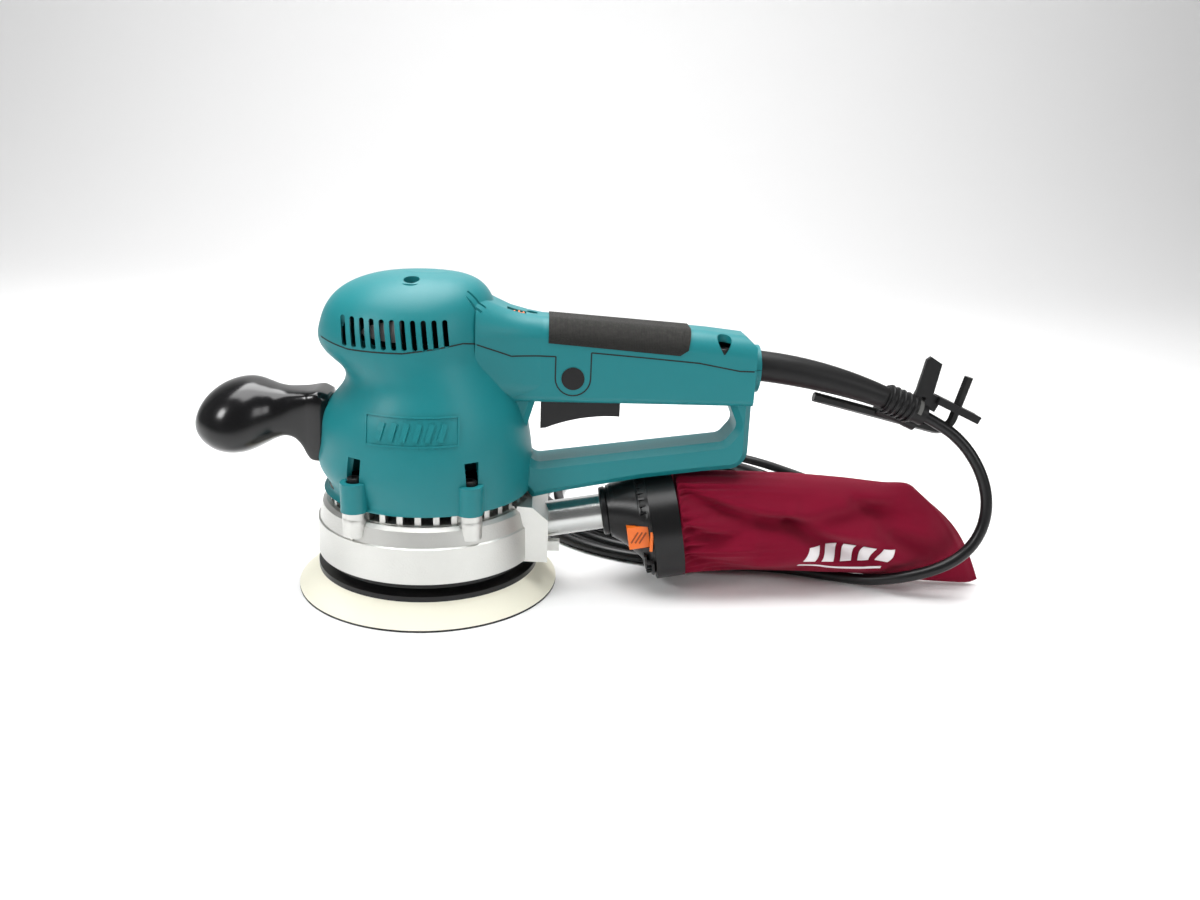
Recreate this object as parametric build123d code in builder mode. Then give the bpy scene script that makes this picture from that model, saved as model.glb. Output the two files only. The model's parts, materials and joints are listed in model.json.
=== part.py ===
"""Random-orbit sander with a D-handle, palm grip, dust nozzle, cloth bag and mains cord.

Frame: origin on the motor axis in the plane of the pad face, +X to the rear handle, +Z up.
"""

from math import cos, radians, sin, sqrt
import os

from build123d import *

# ---------------------------------------------------------------- driving dimensions, mm
pad_radius = 75.0
orbit_offset = 2.75  # the pad axis stands this far from the motor axis, along +Y
hook_thickness = 1.2
foam_top = 12.3
plate_radius = 63.6
plate_flange = 3.0

base_radius = 62.9
base_bottom = 23.4
base_parting = 43.0
base_top = 54.0
rim_bottom = 60.0  # lower edge of the motor housing
wall = 3.0
head_top = 181.4

handle_half_width = 17.0
loop_half_width = 13.5
handle_end = 182.0
collar_end = 185.8
collar_radius = 13.5
guard_radius = 9.0
guard_height = 134.2

button_centre = (80.7, 127.3)  # x and z of the lock button
button_radius = 6.3
trigger_pivot = (106.0, 118.0)  # x and z
spout_tilt = 10.0
spout_root = (69.3, 38.3)  # x and z of the spout axis at the outlet box
spout_radius = 10.4
ring_radius = 31.6
ring_drop = 13.6  # the bag ring's centre lies this far under the spout axis

cord_diameter = 6.8
cord_radius = cord_diameter / 2
cord_length = 2500.0
coil_centre = (160.0, 132.0)
coil_outer = 118.0
coil_inner = 79.0

running_gap = 0.05  # radial clearance of a running fit
screw_places = [(-34.0, -48.5), (27.0, -49.5), (-34.0, 48.5), (27.0, 49.5)]

os.makedirs("parts", exist_ok=True)


def save(piece, label):
    """Labels a finished piece and writes it as its own STEP file."""
    piece.part.label = label
    export_step(piece.part, f"parts/{label}.step")


# ---------------------------------------------------------------- housing outer form
# height, front end, rear end and half width of each oval section of body and head
oval_sections = [
    (60.0, -58.6, 58.6, 58.6),
    (72.0, -59.8, 59.6, 59.4),
    (84.0, -59.9, 58.8, 58.8),
    (96.0, -58.6, 57.0, 57.0),
    (107.0, -55.6, 54.0, 54.4),
    (116.0, -48.6, 50.0, 51.2),
    (123.5, -44.9, 46.5, 48.4),
    (130.0, -46.6, 43.5, 46.8),
    (137.0, -54.4, 41.0, 46.0),
    (144.0, -58.9, 39.8, 45.9),
    (152.0, -58.3, 39.2, 45.2),
    (160.0, -55.6, 38.0, 42.8),
    (167.0, -51.0, 36.0, 38.8),
    (173.0, -43.6, 32.5, 32.6),
    (177.5, -33.5, 27.0, 24.8),
    (180.2, -21.5, 19.0, 16.4),
    (head_top, -11.0, 11.0, 8.0),
]


def oval_form(shrink, lowest, highest):
    """The lofted body and head, its walls moved in by shrink, between two heights."""
    with BuildPart() as form:
        for height, front, rear, half_width in oval_sections:
            if not lowest <= height <= highest:
                continue
            with BuildSketch(Plane((front / 2 + rear / 2, 0, height))):
                Ellipse((rear - front) / 2 - shrink, half_width - shrink)
        loft()
    return form.part


def handle_bar(grow):
    """Upper bar of the D-handle with its long edges rounded, its skin moved out by grow."""
    with BuildPart() as form:
        with BuildSketch(Plane.XZ):
            with BuildLine():
                Polyline(
                    (2, 112.6), (2, 163.6), (44, 161.6), (62, 159.7), (155, 154.5), (176, 152.4),
                    (handle_end, 147.5), (handle_end, 113.6), close=True,
                )
            make_face()
            if grow:
                offset(amount=grow, kind=Kind.INTERSECTION)
        extrude(amount=handle_half_width + grow, both=True)
        along = form.edges().filter_by(lambda edge: abs(edge.tangent_at(0.5).Y) < 0.1)
        top = along.filter_by(lambda edge: edge.center().Z > 146 and edge.length > 20)
        fillet(top, radius=11)
        along = form.edges().filter_by(lambda edge: abs(edge.tangent_at(0.5).Y) < 0.1)
        low = along.filter_by(lambda edge: edge.center().Z < 116 and edge.length > 20)
        fillet(low, radius=4)
    return form.part


def handle_loop():
    """Lower bar and rear post of the D-handle, around the finger opening."""
    with BuildPart() as form:
        with BuildSketch(Plane.XZ) as outline:
            with BuildLine():
                Polyline(
                    (20, 60), (56, 60), (60, 55.4), (76, 59.4), (122, 68.4), (157, 73.4),
                    (handle_end + 0.5, 76.4), (handle_end, 126), (20, 126), close=True,
                )
            make_face()
            corner = outline.vertices().filter_by(lambda v: v.X > handle_end + 0.2)
            fillet(corner, radius=11)
            with BuildLine(mode=Mode.PRIVATE) as finger_line:
                Polyline(
                    (60.5, 113.4), (54.2, 92), (59, 76.2), (122, 85.2), (168, 91.6),
                    (175.5, 101), (170, 113.2), close=True,
                )
            with BuildSketch(mode=Mode.PRIVATE) as finger:
                make_face(finger_line.edges())
                fillet(finger.vertices().filter_by(lambda v: v.Y < 112), radius=6.5)
            add(finger.sketch, mode=Mode.SUBTRACT)
        extrude(amount=loop_half_width, both=True)
        cheeks = form.faces().filter_by(Axis.Y)
        chamfer(cheeks.edges(), length=3.5)
    return form.part


def above_seam():
    """Everything above the seam between motor housing and top cover, with the button's tongue."""
    with BuildPart() as form:
        with BuildSketch(Plane.XZ):
            with BuildLine():
                Polyline(
                    (-80, 150.6), (-52, 147), (-37, 144.6), (-8, 144.6), (22, 148.6), (28, 147.6),
                    (47, 139.6), (76, 139.2), (86, 142.4), (117, 140.4), (150, 138.1),
                    (173, 134.2), (200, 134.2), (200, 200), (-80, 200), close=True,
                )
            make_face()
            tongue_half = 9.7
            with Locations(button_centre):
                Circle(tongue_half)
            with Locations((button_centre[0], button_centre[1] + 9)):
                Rectangle(2 * tongue_half, 18)
        extrude(amount=90, both=True)
    return form.part


# x, lowest z, highest z and half width of each section of the bar's flared root
root_sections = [
    (66.0, 113.4, 158.9, 16.6),
    (60.0, 113.0, 160.1, 17.4),
    (50.0, 112.2, 161.8, 19.8),
    (40.0, 110.2, 165.0, 24.2),
    (28.0, 106.5, 170.5, 30.4),
]


def handle_root():
    """Flare that carries the upper bar's skin softly into the head."""
    with BuildPart() as form:
        for along, low, high, half_width in root_sections:
            with BuildSketch(Plane((along, 0, (low + high) / 2), x_dir=(0, 1, 0),
                                   z_dir=(1, 0, 0))):
                RectangleRounded(2 * half_width, high - low, 0.62 * half_width)
        loft()
    return form.part


body_form = oval_form(0, 0, 200)
inner_form = oval_form(wall, 0, 179)
bar_form = handle_bar(0)

with BuildPart() as housing_form:
    add(body_form)
    add(bar_form)
    add(handle_root())
    add(handle_loop())
    with BuildSketch(Plane.YZ.offset(handle_end - 6)):
        with Locations((0, guard_height - 1.7)):
            Circle(collar_radius)
    extrude(amount=collar_end - handle_end + 6)

with BuildPart() as hollow_form:
    add(inner_form)
    with BuildSketch(Plane((0, 0, rim_bottom))):
        Circle(58.6 - wall)
    extrude(amount=8)
    with BuildSketch(Plane.XZ):
        with BuildLine():
            Polyline(
                (30, 117), (30, 156.5), (67, 154.6), (147, 150.6), (176, 147.6),
                (176, 120), (120, 117), close=True,
            )
        make_face()
    extrude(amount=handle_half_width - wall - 0.5, both=True)
    with BuildSketch(Plane.YZ.offset(170)):
        with Locations((0, guard_height + 0.4)):
            Circle(guard_radius + 0.3)
    extrude(amount=30)

# ---------------------------------------------------------------- motor housing
stator_radius = 38.0
cage_bottom = 78.0
cage_top = 120.0
boss_top = 76.0

with BuildPart() as motor_cage:
    with BuildSketch(Plane((0, 0, cage_bottom))):
        Circle(stator_radius + 3)
        Rectangle(130, 3, rotation=45)
        Rectangle(130, 3, rotation=-45)
        Circle(stator_radius + running_gap, mode=Mode.SUBTRACT)
    extrude(amount=cage_top - cage_bottom)
    add(inner_form, mode=Mode.INTERSECT)

with BuildPart() as motor_housing:
    add(housing_form.part)
    with Locations(*[(x, y * 1.02, rim_bottom + 8) for x, y in screw_places]):
        Cylinder(7.2, boss_top - rim_bottom, align=(Align.CENTER, Align.CENTER, Align.CENTER))
    add(hollow_form.part, mode=Mode.SUBTRACT)
    add(motor_cage.part)
    add(above_seam(), mode=Mode.SUBTRACT)
    # pockets over the four housing screws, and the screws' holes
    with Locations(*[(x, y, boss_top - 1.5) for x, y in screw_places]):
        Cylinder(4.4, 14, align=(Align.CENTER, Align.CENTER, Align.MIN), mode=Mode.SUBTRACT)
    with Locations(*[(x, y, rim_bottom) for x, y in screw_places]):
        Cylinder(2.2, 40, mode=Mode.SUBTRACT)
    # slot for the trigger in the underside of the upper bar
    with Locations((85.4, 0, 114)):
        Box(49.2, 19.4, 12, mode=Mode.SUBTRACT)
    with Locations((trigger_pivot[0], 0, trigger_pivot[1])):
        Cylinder(2.0, 27, rotation=(90, 0, 0), mode=Mode.SUBTRACT)
    # seat of the front grip's bolt
    with Locations((-60, 0, 98)):
        Cylinder(3.1, 20, rotation=(0, 90, 0), mode=Mode.SUBTRACT)
save(motor_housing, "motor_housing")

# ---------------------------------------------------------------- top cover and its inlay
rubber_front = 66.8
rubber_rear = 147.5
rubber_proud = 0.6
rubber_depth = 1.2

with BuildPart() as rubber_region:
    with BuildSketch(Plane.XZ) as side:
        with BuildLine():
            Polyline(
                (rubber_front, 170), (rubber_front, 146.8), (139, 141.9), (143.5, 145),
                (rubber_rear, 170), close=True,
            )
        make_face()
    extrude(amount=30, both=True)

with BuildPart() as handle_rubber:
    add(rubber_region.part)
    add(handle_bar(rubber_proud), mode=Mode.INTERSECT)
    add(handle_bar(-rubber_depth), mode=Mode.SUBTRACT)
save(handle_rubber, "handle_rubber")

seam_gap = 0.25
vent_count = 11
vent_pitch = 5.3
crown_screw = (-6.0, -20.0)

with BuildPart() as top_cover:
    add(housing_form.part)
    add(hollow_form.part, mode=Mode.SUBTRACT)
    # boss of the crown screw
    with Locations((*crown_screw, 168)):
        Cylinder(6.2, 9.5, align=(Align.CENTER, Align.CENTER, Align.MIN))
        Cylinder(1.95, 20, mode=Mode.SUBTRACT)
    with Locations((0, 0, seam_gap)):
        add(above_seam(), mode=Mode.INTERSECT)
    add(handle_rubber.part, mode=Mode.SUBTRACT)
    # cooling air slots through both cheeks of the head
    vent_middle = (-13.0, 153.6)
    for side in (-1, 1):
        with BuildSketch(Plane((vent_middle[0], side * 30, vent_middle[1]), x_dir=(1, 0, 0),
                               z_dir=(0, side, 0))):
            with GridLocations(vent_pitch, 1, vent_count, 1):
                SlotOverall(15.5, 2.7, rotation=90 - side * 6)
        extrude(amount=30, mode=Mode.SUBTRACT)
    # two thin slots down the rear slope of the head
    for offset_y in (-24, -20):
        with Locations((27.5, offset_y, 169)):
            Box(5, 1.3, 13, rotation=(0, -35, 0), mode=Mode.SUBTRACT)
    # recesses: crown screw, screw by the dial, rear screw
    with Locations((*crown_screw, 178)):
        Cylinder(4.2, 12, mode=Mode.SUBTRACT)
    with Locations((57.5, 0, 160)):
        Cylinder(3.2, 7, mode=Mode.SUBTRACT)
    with Locations((163.5, -13, 149)):
        Cylinder(4.0, 12, mode=Mode.SUBTRACT)
    # window of the speed dial
    with Locations((49, -5, 158)):
        Box(10.4, 6.8, 12, mode=Mode.SUBTRACT)
    with Locations((49, -5, 153.2)):
        Box(17, 6.8, 10, mode=Mode.SUBTRACT)
    # hole for the lock button in the near tongue
    with Locations((button_centre[0], -handle_half_width, button_centre[1])):
        Cylinder(button_radius + running_gap, 12, rotation=(90, 0, 0), mode=Mode.SUBTRACT)
save(top_cover, "top_cover")

# ---------------------------------------------------------------- front palm grip
# position along X, centre height, half height and half width of each section of the knob
knob_sections = [
    (-127.6, 93.6, 3.0, 4.0),
    (-125.0, 95.6, 9.6, 13.0),
    (-120.5, 96.2, 15.6, 20.5),
    (-114.0, 97.0, 19.8, 25.6),
    (-106.0, 98.6, 21.6, 28.0),
    (-97.0, 100.2, 21.2, 27.2),
    (-89.0, 101.6, 18.8, 22.6),
    (-82.0, 101.4, 15.8, 16.6),
    (-76.0, 100.4, 14.2, 14.0),
]
grip_seam = 95.0

with BuildPart() as knob_form:
    for along, height, half_height, half_width in knob_sections:
        with BuildSketch(Plane((along, 0, height), x_dir=(0, 1, 0), z_dir=(1, 0, 0))):
            Ellipse(half_width, half_height)
    loft()
    with Locations((-95, 0, 98)):
        Cylinder(3.1, 40, rotation=(0, 90, 0), mode=Mode.SUBTRACT)

with BuildPart() as grip_upper:
    add(knob_form.part)
    with Locations((-100, 0, grip_seam)):
        Box(80, 80, 60, align=(Align.CENTER, Align.CENTER, Align.MIN), mode=Mode.INTERSECT)
save(grip_upper, "grip_upper")

with BuildPart() as grip_lower:
    add(knob_form.part)
    with Locations((-100, 0, grip_seam)):
        Box(80, 80, 60, align=(Align.CENTER, Align.CENTER, Align.MAX), mode=Mode.INTERSECT)
save(grip_lower, "grip_lower")

neck_rear = -61.0
with BuildPart() as grip_neck:
    with BuildSketch(Plane.YZ.offset(-76)):
        with Locations((0, 100)):
            RectangleRounded(27, 29, 4)
    extrude(amount=neck_rear + 76)
    with BuildSketch(Plane.YZ.offset(-67)):
        with Locations((0, 95)):
            RectangleRounded(30, 41, 4)
    extrude(amount=8.5)
    add(body_form, mode=Mode.SUBTRACT)
    with Locations((-70, 0, 98)):
        Cylinder(3.1, 60, rotation=(0, 90, 0), mode=Mode.SUBTRACT)
save(grip_neck, "grip_neck")

with BuildPart() as grip_bolt:
    with Locations((-52.4, 0, 98)):
        Cylinder(3.0, 60, rotation=(0, 90, 0), align=(Align.CENTER, Align.CENTER, Align.MAX))
    with BuildSketch(Plane.YZ.offset(-52.4)):
        with Locations((0, 98)):
            RegularPolygon(5.5, 6)
    extrude(amount=4)
save(grip_bolt, "grip_bolt")

# ---------------------------------------------------------------- base casting
bearing_seat = 16.0
deck_bottom = 49.0
box_rear = 27.0

with BuildPart() as base_casting:
    with BuildSketch(Plane.XZ):
        with BuildLine():
            Polyline(
                (base_radius - 4, base_bottom), (base_radius, base_bottom),
                (base_radius - 0.4, base_parting), (base_radius - 1.4, base_parting + 0.6),
                (base_radius - 3.2, base_top - 2), (base_radius - 5.2, base_top),
                (52, base_top), (52, deck_bottom), (base_radius - 5.5, deck_bottom - 2),
                close=True,
            )
        make_face()
    revolve()
    with BuildSketch(Plane((0, 0, deck_bottom))):
        Circle(53)
    extrude(amount=3)
    # outlet box on the rear flank, its roof sloping up to the housing
    with BuildSketch(Plane.XZ):
        with BuildLine():
            Polyline(
                (30, base_bottom), (spout_root[0], base_bottom - 1.4), (spout_root[0], 47),
                (60, 55), (30, 57), close=True,
            )
        make_face()
    extrude(amount=box_rear, both=True)
    with BuildSketch(Plane.XZ):
        with BuildLine():
            Polyline((25, 19), (66, 19), (66, 46), (25, 46), close=True)
        make_face()
    extrude(amount=box_rear - 3, both=True, mode=Mode.SUBTRACT)
    # the dust chamber under the deck
    with BuildSketch(Plane((0, 0, base_bottom - 5))):
        Circle(base_radius - 4)
    extrude(amount=deck_bottom - base_bottom + 5 - 2, mode=Mode.SUBTRACT)
    # ring of cooling windows between the ribs that carry the housing
    with BuildSketch(Plane((0, 0, deck_bottom + 3))):
        Circle(55.6)
        Circle(51.6, mode=Mode.SUBTRACT)
    extrude(amount=rim_bottom - deck_bottom - 3)
    with PolarLocations(53.6, 36, start_angle=5):
        with Locations((0, 0, base_top + 3)):
            Box(9, 6.4, 6 - 0.6, mode=Mode.SUBTRACT)
    # bearing hub and the four posts for the housing screws
    with Locations((0, 0, deck_bottom - 4)):
        Cylinder(21, 15.5, align=(Align.CENTER, Align.CENTER, Align.MIN))
    with Locations(*[(x, y, 46) for x, y in screw_places]):
        Cylinder(6.6, rim_bottom - 46, align=(Align.CENTER, Align.CENTER, Align.MIN))
    with Locations((0, 0, deck_bottom)):
        Cylinder(bearing_seat, 12, align=(Align.CENTER, Align.CENTER, Align.MIN), mode=Mode.SUBTRACT)
    with Locations((0, 0, 40)):
        Cylinder(12, 30, mode=Mode.SUBTRACT)
    with Locations(*[(x, y, rim_bottom) for x, y in screw_places]):
        Cylinder(2.15, 24, mode=Mode.SUBTRACT)
    spout_plane = Plane(
        (spout_root[0], 0, spout_root[1]),
        x_dir=(0, 1, 0),
        z_dir=(cos(radians(spout_tilt)), 0, sin(radians(spout_tilt))),
    )
    with BuildSketch(spout_plane.offset(-12)):
        Circle(spout_radius + running_gap)
    extrude(amount=30, mode=Mode.SUBTRACT)
save(base_casting, "base_casting")

spout_end = 54.0
with BuildPart() as dust_spout:
    with BuildSketch(spout_plane.offset(-6)):
        Circle(spout_radius)
        Circle(spout_radius - 1.4, mode=Mode.SUBTRACT)
    extrude(amount=spout_end + 6)
save(dust_spout, "dust_spout")

with BuildPart() as spout_lug:
    with Locations((spout_root[0] + 3.5, -10, 26)):
        Box(7, 5, 6)
save(spout_lug, "spout_lug")

with BuildPart() as dust_skirt:
    with BuildSketch(Plane((0, 0, 19.4))):
        Circle(base_radius - 4.1)
        Circle(base_radius - 9, mode=Mode.SUBTRACT)
    extrude(amount=8)
save(dust_skirt, "dust_skirt")

with BuildPart() as housing_screws:
    for x, y in screw_places:
        with Locations((x, y, boss_top - 1.5)):
            Cylinder(3.7, 3, align=(Align.CENTER, Align.CENTER, Align.MIN))
            Cylinder(2.1, 24, align=(Align.CENTER, Align.CENTER, Align.MAX))
save(housing_screws, "housing_screws")

# ---------------------------------------------------------------- rotor and motor
shaft_radius = 7.5
fan_bottom = 62.4

with BuildPart() as rotor_shaft:
    with Locations((0, 0, 40)):
        Cylinder(shaft_radius, 28, align=(Align.CENTER, Align.CENTER, Align.MIN))
    with Locations((0, 0, 68)):
        Cylinder(5, 80, align=(Align.CENTER, Align.CENTER, Align.MIN))
    with Locations((0, 0, 148)):
        Cylinder(4, 12, align=(Align.CENTER, Align.CENTER, Align.MIN))
save(rotor_shaft, "rotor_shaft")

armature_bottom = 80.0
armature_top = 116.0
with BuildPart() as armature_core:
    with BuildSketch(Plane((0, 0, armature_bottom))):
        Circle(23.7)
        with PolarLocations(21.2, 12):
            Rectangle(6, 2.4, mode=Mode.SUBTRACT)
        Circle(5, mode=Mode.SUBTRACT)
    extrude(amount=armature_top - armature_bottom)
save(armature_core, "armature_core")

with BuildPart() as armature_windings:
    for low, high in ((armature_bottom - 8, armature_bottom), (armature_top, armature_top + 8)):
        with Locations((0, 0, low)):
            Cylinder(19.5, high - low, align=(Align.CENTER, Align.CENTER, Align.MIN))
    with Locations((0, 0, 98)):
        Cylinder(7, 70, mode=Mode.SUBTRACT)
save(armature_windings, "armature_windings")

commutator_bottom = 128.0
with BuildPart() as commutator:
    with BuildSketch(Plane((0, 0, commutator_bottom))):
        Circle(12)
        with PolarLocations(12, 22):
            Rectangle(2, 0.7, mode=Mode.SUBTRACT)
        Circle(5, mode=Mode.SUBTRACT)
    extrude(amount=14)
save(commutator, "commutator")

with BuildPart() as cooling_fan:
    with BuildSketch(Plane((0, 0, fan_bottom + 2))):
        Circle(48)
        Circle(5 + 2.5, mode=Mode.SUBTRACT)
    extrude(amount=2)
    with BuildSketch(Plane((0, 0, fan_bottom + 3.9))):
        with PolarLocations(35, 18):
            Rectangle(24, 1.4, rotation=28)
        Circle(12)
        Circle(7.5, mode=Mode.SUBTRACT)
    extrude(amount=5.5)
save(cooling_fan, "cooling_fan")

pad_axis = Plane((0, orbit_offset, 0))
spindle_radius = 6.0
with BuildPart() as eccentric_hub:
    with BuildSketch(Plane((0, 0, 26))):
        Circle(20)
        with Locations((0, orbit_offset)):
            Circle(13, mode=Mode.SUBTRACT)
    extrude(amount=15)
    with BuildSketch(Plane((0, 0, 41))):
        Circle(20)
    extrude(amount=4)
    with BuildSketch(Plane((0, 0, 34))):
        Circle(44)
        Circle(19, mode=Mode.SUBTRACT)
        with Locations((0, 50)):
            Rectangle(120, 100, mode=Mode.SUBTRACT)
    extrude(amount=8)
    with Locations((0, 0, 44)):
        Cylinder(shaft_radius, 8, mode=Mode.SUBTRACT)
save(eccentric_hub, "eccentric_hub")

with BuildPart() as pad_bearings:
    for low in (26.4, 33.4):
        with BuildSketch(pad_axis.offset(low)):
            Circle(13)
            Circle(spindle_radius + running_gap, mode=Mode.SUBTRACT)
        extrude(amount=6.6)
save(pad_bearings, "pad_bearings")

with BuildPart() as lower_bearing:
    with BuildSketch(Plane((0, 0, deck_bottom + 0.5))):
        Circle(bearing_seat)
        Circle(shaft_radius + running_gap, mode=Mode.SUBTRACT)
    extrude(amount=9)
save(lower_bearing, "lower_bearing")

with BuildPart() as upper_bearing:
    with BuildSketch(Plane((0, 0, 150))):
        Circle(11)
        Circle(4 + running_gap, mode=Mode.SUBTRACT)
    extrude(amount=7)
save(upper_bearing, "upper_bearing")

with BuildPart() as stator:
    with BuildSketch(Plane((0, 0, 80))):
        Circle(stator_radius)
        Circle(24.6, mode=Mode.SUBTRACT)
        for side in (-1, 1):
            with Locations((side * 30, 0)):
                Rectangle(9, 22, mode=Mode.SUBTRACT)
    extrude(amount=36)
save(stator, "stator")

with BuildPart() as field_coils:
    for side in (-1, 1):
        with BuildSketch(Plane((side * 30, 0, 98))):
            Rectangle(8.6, 21.6)
        extrude(amount=23, both=True)
save(field_coils, "field_coils")

brush_height = 135.0
with BuildPart() as bearing_plate:
    with BuildSketch(Plane((0, 0, 144.6))):
        Circle(36)
        Circle(13, mode=Mode.SUBTRACT)
    extrude(amount=3)
    with BuildSketch(Plane((0, 0, 144.6))):
        Circle(14.5)
        Circle(11, mode=Mode.SUBTRACT)
    extrude(amount=13)
    with BuildSketch(Plane((0, 0, 144.6))):
        Circle(12)
        Circle(6, mode=Mode.SUBTRACT)
    extrude(amount=5)
    for side in (-1, 1):
        with Locations((0, side * 34, 134)):
            Box(10, 2, 22)
save(bearing_plate, "bearing_plate")

with BuildPart() as brush_holders:
    for side in (-1, 1):
        with Locations((0, side * 24, brush_height)):
            Box(9.4, 18, 11)
            Box(6.4, 18.2, 8, mode=Mode.SUBTRACT)
save(brush_holders, "brush_holders")

with BuildPart() as carbon_brushes:
    for side in (-1, 1):
        with Locations((0, side * 19.2, brush_height)):
            Box(6.3, 14, 7.9)
save(carbon_brushes, "carbon_brushes")

# ---------------------------------------------------------------- orbiting pad
with BuildPart() as pad_plate:
    with BuildSketch(Plane((0, orbit_offset, 0), x_dir=(1, 0, 0), z_dir=(0, -1, 0))):
        with BuildLine():
            Polyline(
                (0, foam_top), (plate_radius, foam_top), (plate_radius, foam_top + plate_flange),
                (60, 16.6), (57, 18.6), (50, 18.6), (46, 15.6), (18, 15.6), (14, 24),
                (spindle_radius, 24), (spindle_radius, 39.6), (0, 39.6), close=True,
            )
        make_face()
    revolve(axis=Axis((0, orbit_offset, 0), (0, 0, 1)))
    with BuildSketch(pad_axis.offset(foam_top)):
        with PolarLocations(40, 6):
            Circle(5)
        Circle(3)
    extrude(amount=10, mode=Mode.SUBTRACT)
save(pad_plate, "pad_plate")

with BuildPart() as foam_pad:
    with BuildSketch(pad_axis.offset(hook_thickness)):
        Circle(pad_radius)
    with BuildSketch(pad_axis.offset(foam_top)):
        Circle(plate_radius)
    loft()
    with BuildSketch(pad_axis.offset(hook_thickness)):
        with PolarLocations(40, 6):
            Circle(5)
        Circle(9)
    extrude(amount=20, mode=Mode.SUBTRACT)
save(foam_pad, "foam_pad")

with BuildPart() as hook_face:
    with BuildSketch(pad_axis):
        Circle(pad_radius)
        with PolarLocations(40, 6):
            Circle(5, mode=Mode.SUBTRACT)
        Circle(9, mode=Mode.SUBTRACT)
    extrude(amount=hook_thickness)
save(hook_face, "hook_face")

with BuildPart() as pad_bolt:
    with BuildSketch(pad_axis.offset(5.6)):
        RegularPolygon(5.8, 6)
        RegularPolygon(2.9, 6, mode=Mode.SUBTRACT)
    extrude(amount=5.4)
    with BuildSketch(pad_axis.offset(9.5)):
        Circle(2.95)
    extrude(amount=12)
save(pad_bolt, "pad_bolt")

with BuildPart() as pad_washer:
    with BuildSketch(pad_axis.offset(11)):
        Circle(8.5)
        Circle(3, mode=Mode.SUBTRACT)
    extrude(amount=1.3)
save(pad_washer, "pad_washer")

# ---------------------------------------------------------------- cover screws, switch, controls
with BuildPart() as cover_screws:
    with Locations((*crown_screw, 172.1)):
        Cylinder(3.7, 2.4, align=(Align.CENTER, Align.CENTER, Align.MIN))
        Cylinder(1.9, 6, align=(Align.CENTER, Align.CENTER, Align.MAX))
    with Locations((57.5, 0, 156.6)):
        Cylinder(3.0, 2.0, align=(Align.CENTER, Align.CENTER, Align.MIN))
    with Locations((163.5, -13, 143.1)):
        Cylinder(3.6, 2.2, align=(Align.CENTER, Align.CENTER, Align.MIN))
save(cover_screws, "cover_screws")

trigger_front = 63.4
trigger_rear = 108.0
trigger_half_width = 9.0
with BuildPart() as trigger:
    with BuildSketch(Plane.XZ):
        with BuildLine():
            top_left = (trigger_front, 117.4)
            heel = (trigger_front, 96.3)
            toe = (trigger_rear, 104.2)
            Line(top_left, heel)
            Line(heel, (trigger_front + 3, 96.6))
            Spline((trigger_front + 3, 96.6), (84, 102.2), toe)
            Line(toe, (trigger_rear, 117.4))
            Line((trigger_rear, 117.4), top_left)
        make_face()
    extrude(amount=trigger_half_width, both=True)
    with Locations((trigger_pivot[0], 0, trigger_pivot[1])):
        Cylinder(2.02, 30, rotation=(90, 0, 0), mode=Mode.SUBTRACT)
save(trigger, "trigger")

with BuildPart() as trigger_pin:
    with Locations((trigger_pivot[0], 0, trigger_pivot[1])):
        Cylinder(2.0, 27, rotation=(90, 0, 0))
save(trigger_pin, "trigger_pin")

with BuildPart() as switch_body:
    with Locations((88, 2, 133)):
        Box(38, 14, 16)
save(switch_body, "switch_body")

with BuildPart() as lock_button:
    near_face = -(handle_half_width + 0.4)
    with Locations((button_centre[0], near_face, button_centre[1])):
        Cylinder(
            button_radius, 5.4, rotation=(90, 0, 0),
            align=(Align.CENTER, Align.CENTER, Align.MAX),
        )
save(lock_button, "lock_button")

dial_radius = 8.6
dial_place = (49.0, -5.0, 151.0)
with BuildPart() as speed_dial:
    with BuildSketch(Plane((dial_place[0], dial_place[1] + 3, dial_place[2]), x_dir=(1, 0, 0),
                           z_dir=(0, -1, 0))):
        Circle(dial_radius)
        with PolarLocations(dial_radius, 30):
            Rectangle(1.4, 0.9, mode=Mode.SUBTRACT)
        Circle(1.5 + running_gap, mode=Mode.SUBTRACT)
    extrude(amount=6)
save(speed_dial, "speed_dial")

with BuildPart() as speed_controller:
    with Locations((dial_place[0], dial_place[1] + 7, dial_place[2] - 2)):
        Box(11, 6, 12)
    with Locations((dial_place[0], dial_place[1] + 1, dial_place[2])):
        Cylinder(1.5, 7, rotation=(90, 0, 0))
save(speed_controller, "speed_controller")

with BuildPart() as cord_clamp:
    with Locations((163, 0, 127.8)):
        Box(9, 24, 3)
save(cord_clamp, "cord_clamp")

# ---------------------------------------------------------------- cord guard and wrench holder
guard_bend = 300.0
guard_start_slope = 2.1
guard_start = (171.0, 135.1)
guard_length = 114.0


def guard_plane(length):
    """Plane across the cord guard this far along its bent centre line, its y axis upwards."""
    first = radians(guard_start_slope)
    slope = first + length / guard_bend
    reach = guard_bend * (sin(slope) - sin(first))
    fall = guard_bend * (cos(first) - cos(slope))
    centre = (guard_start[0] + reach, 0, guard_start[1] - fall)
    return Plane(centre, x_dir=(0, 1, 0), z_dir=(cos(slope), 0, -sin(slope)))


# distance along the guard and radius there
guard_sections = [(0, 8.7), (18, 8.7), (40, 8.5), (64, 7.8), (90, 6.6), (guard_length, 5.2)]
with BuildPart() as cord_guard:
    for length, radius in guard_sections:
        with BuildSketch(guard_plane(length)):
            Circle(radius)
    loft()
save(cord_guard, "cord_guard")

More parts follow.
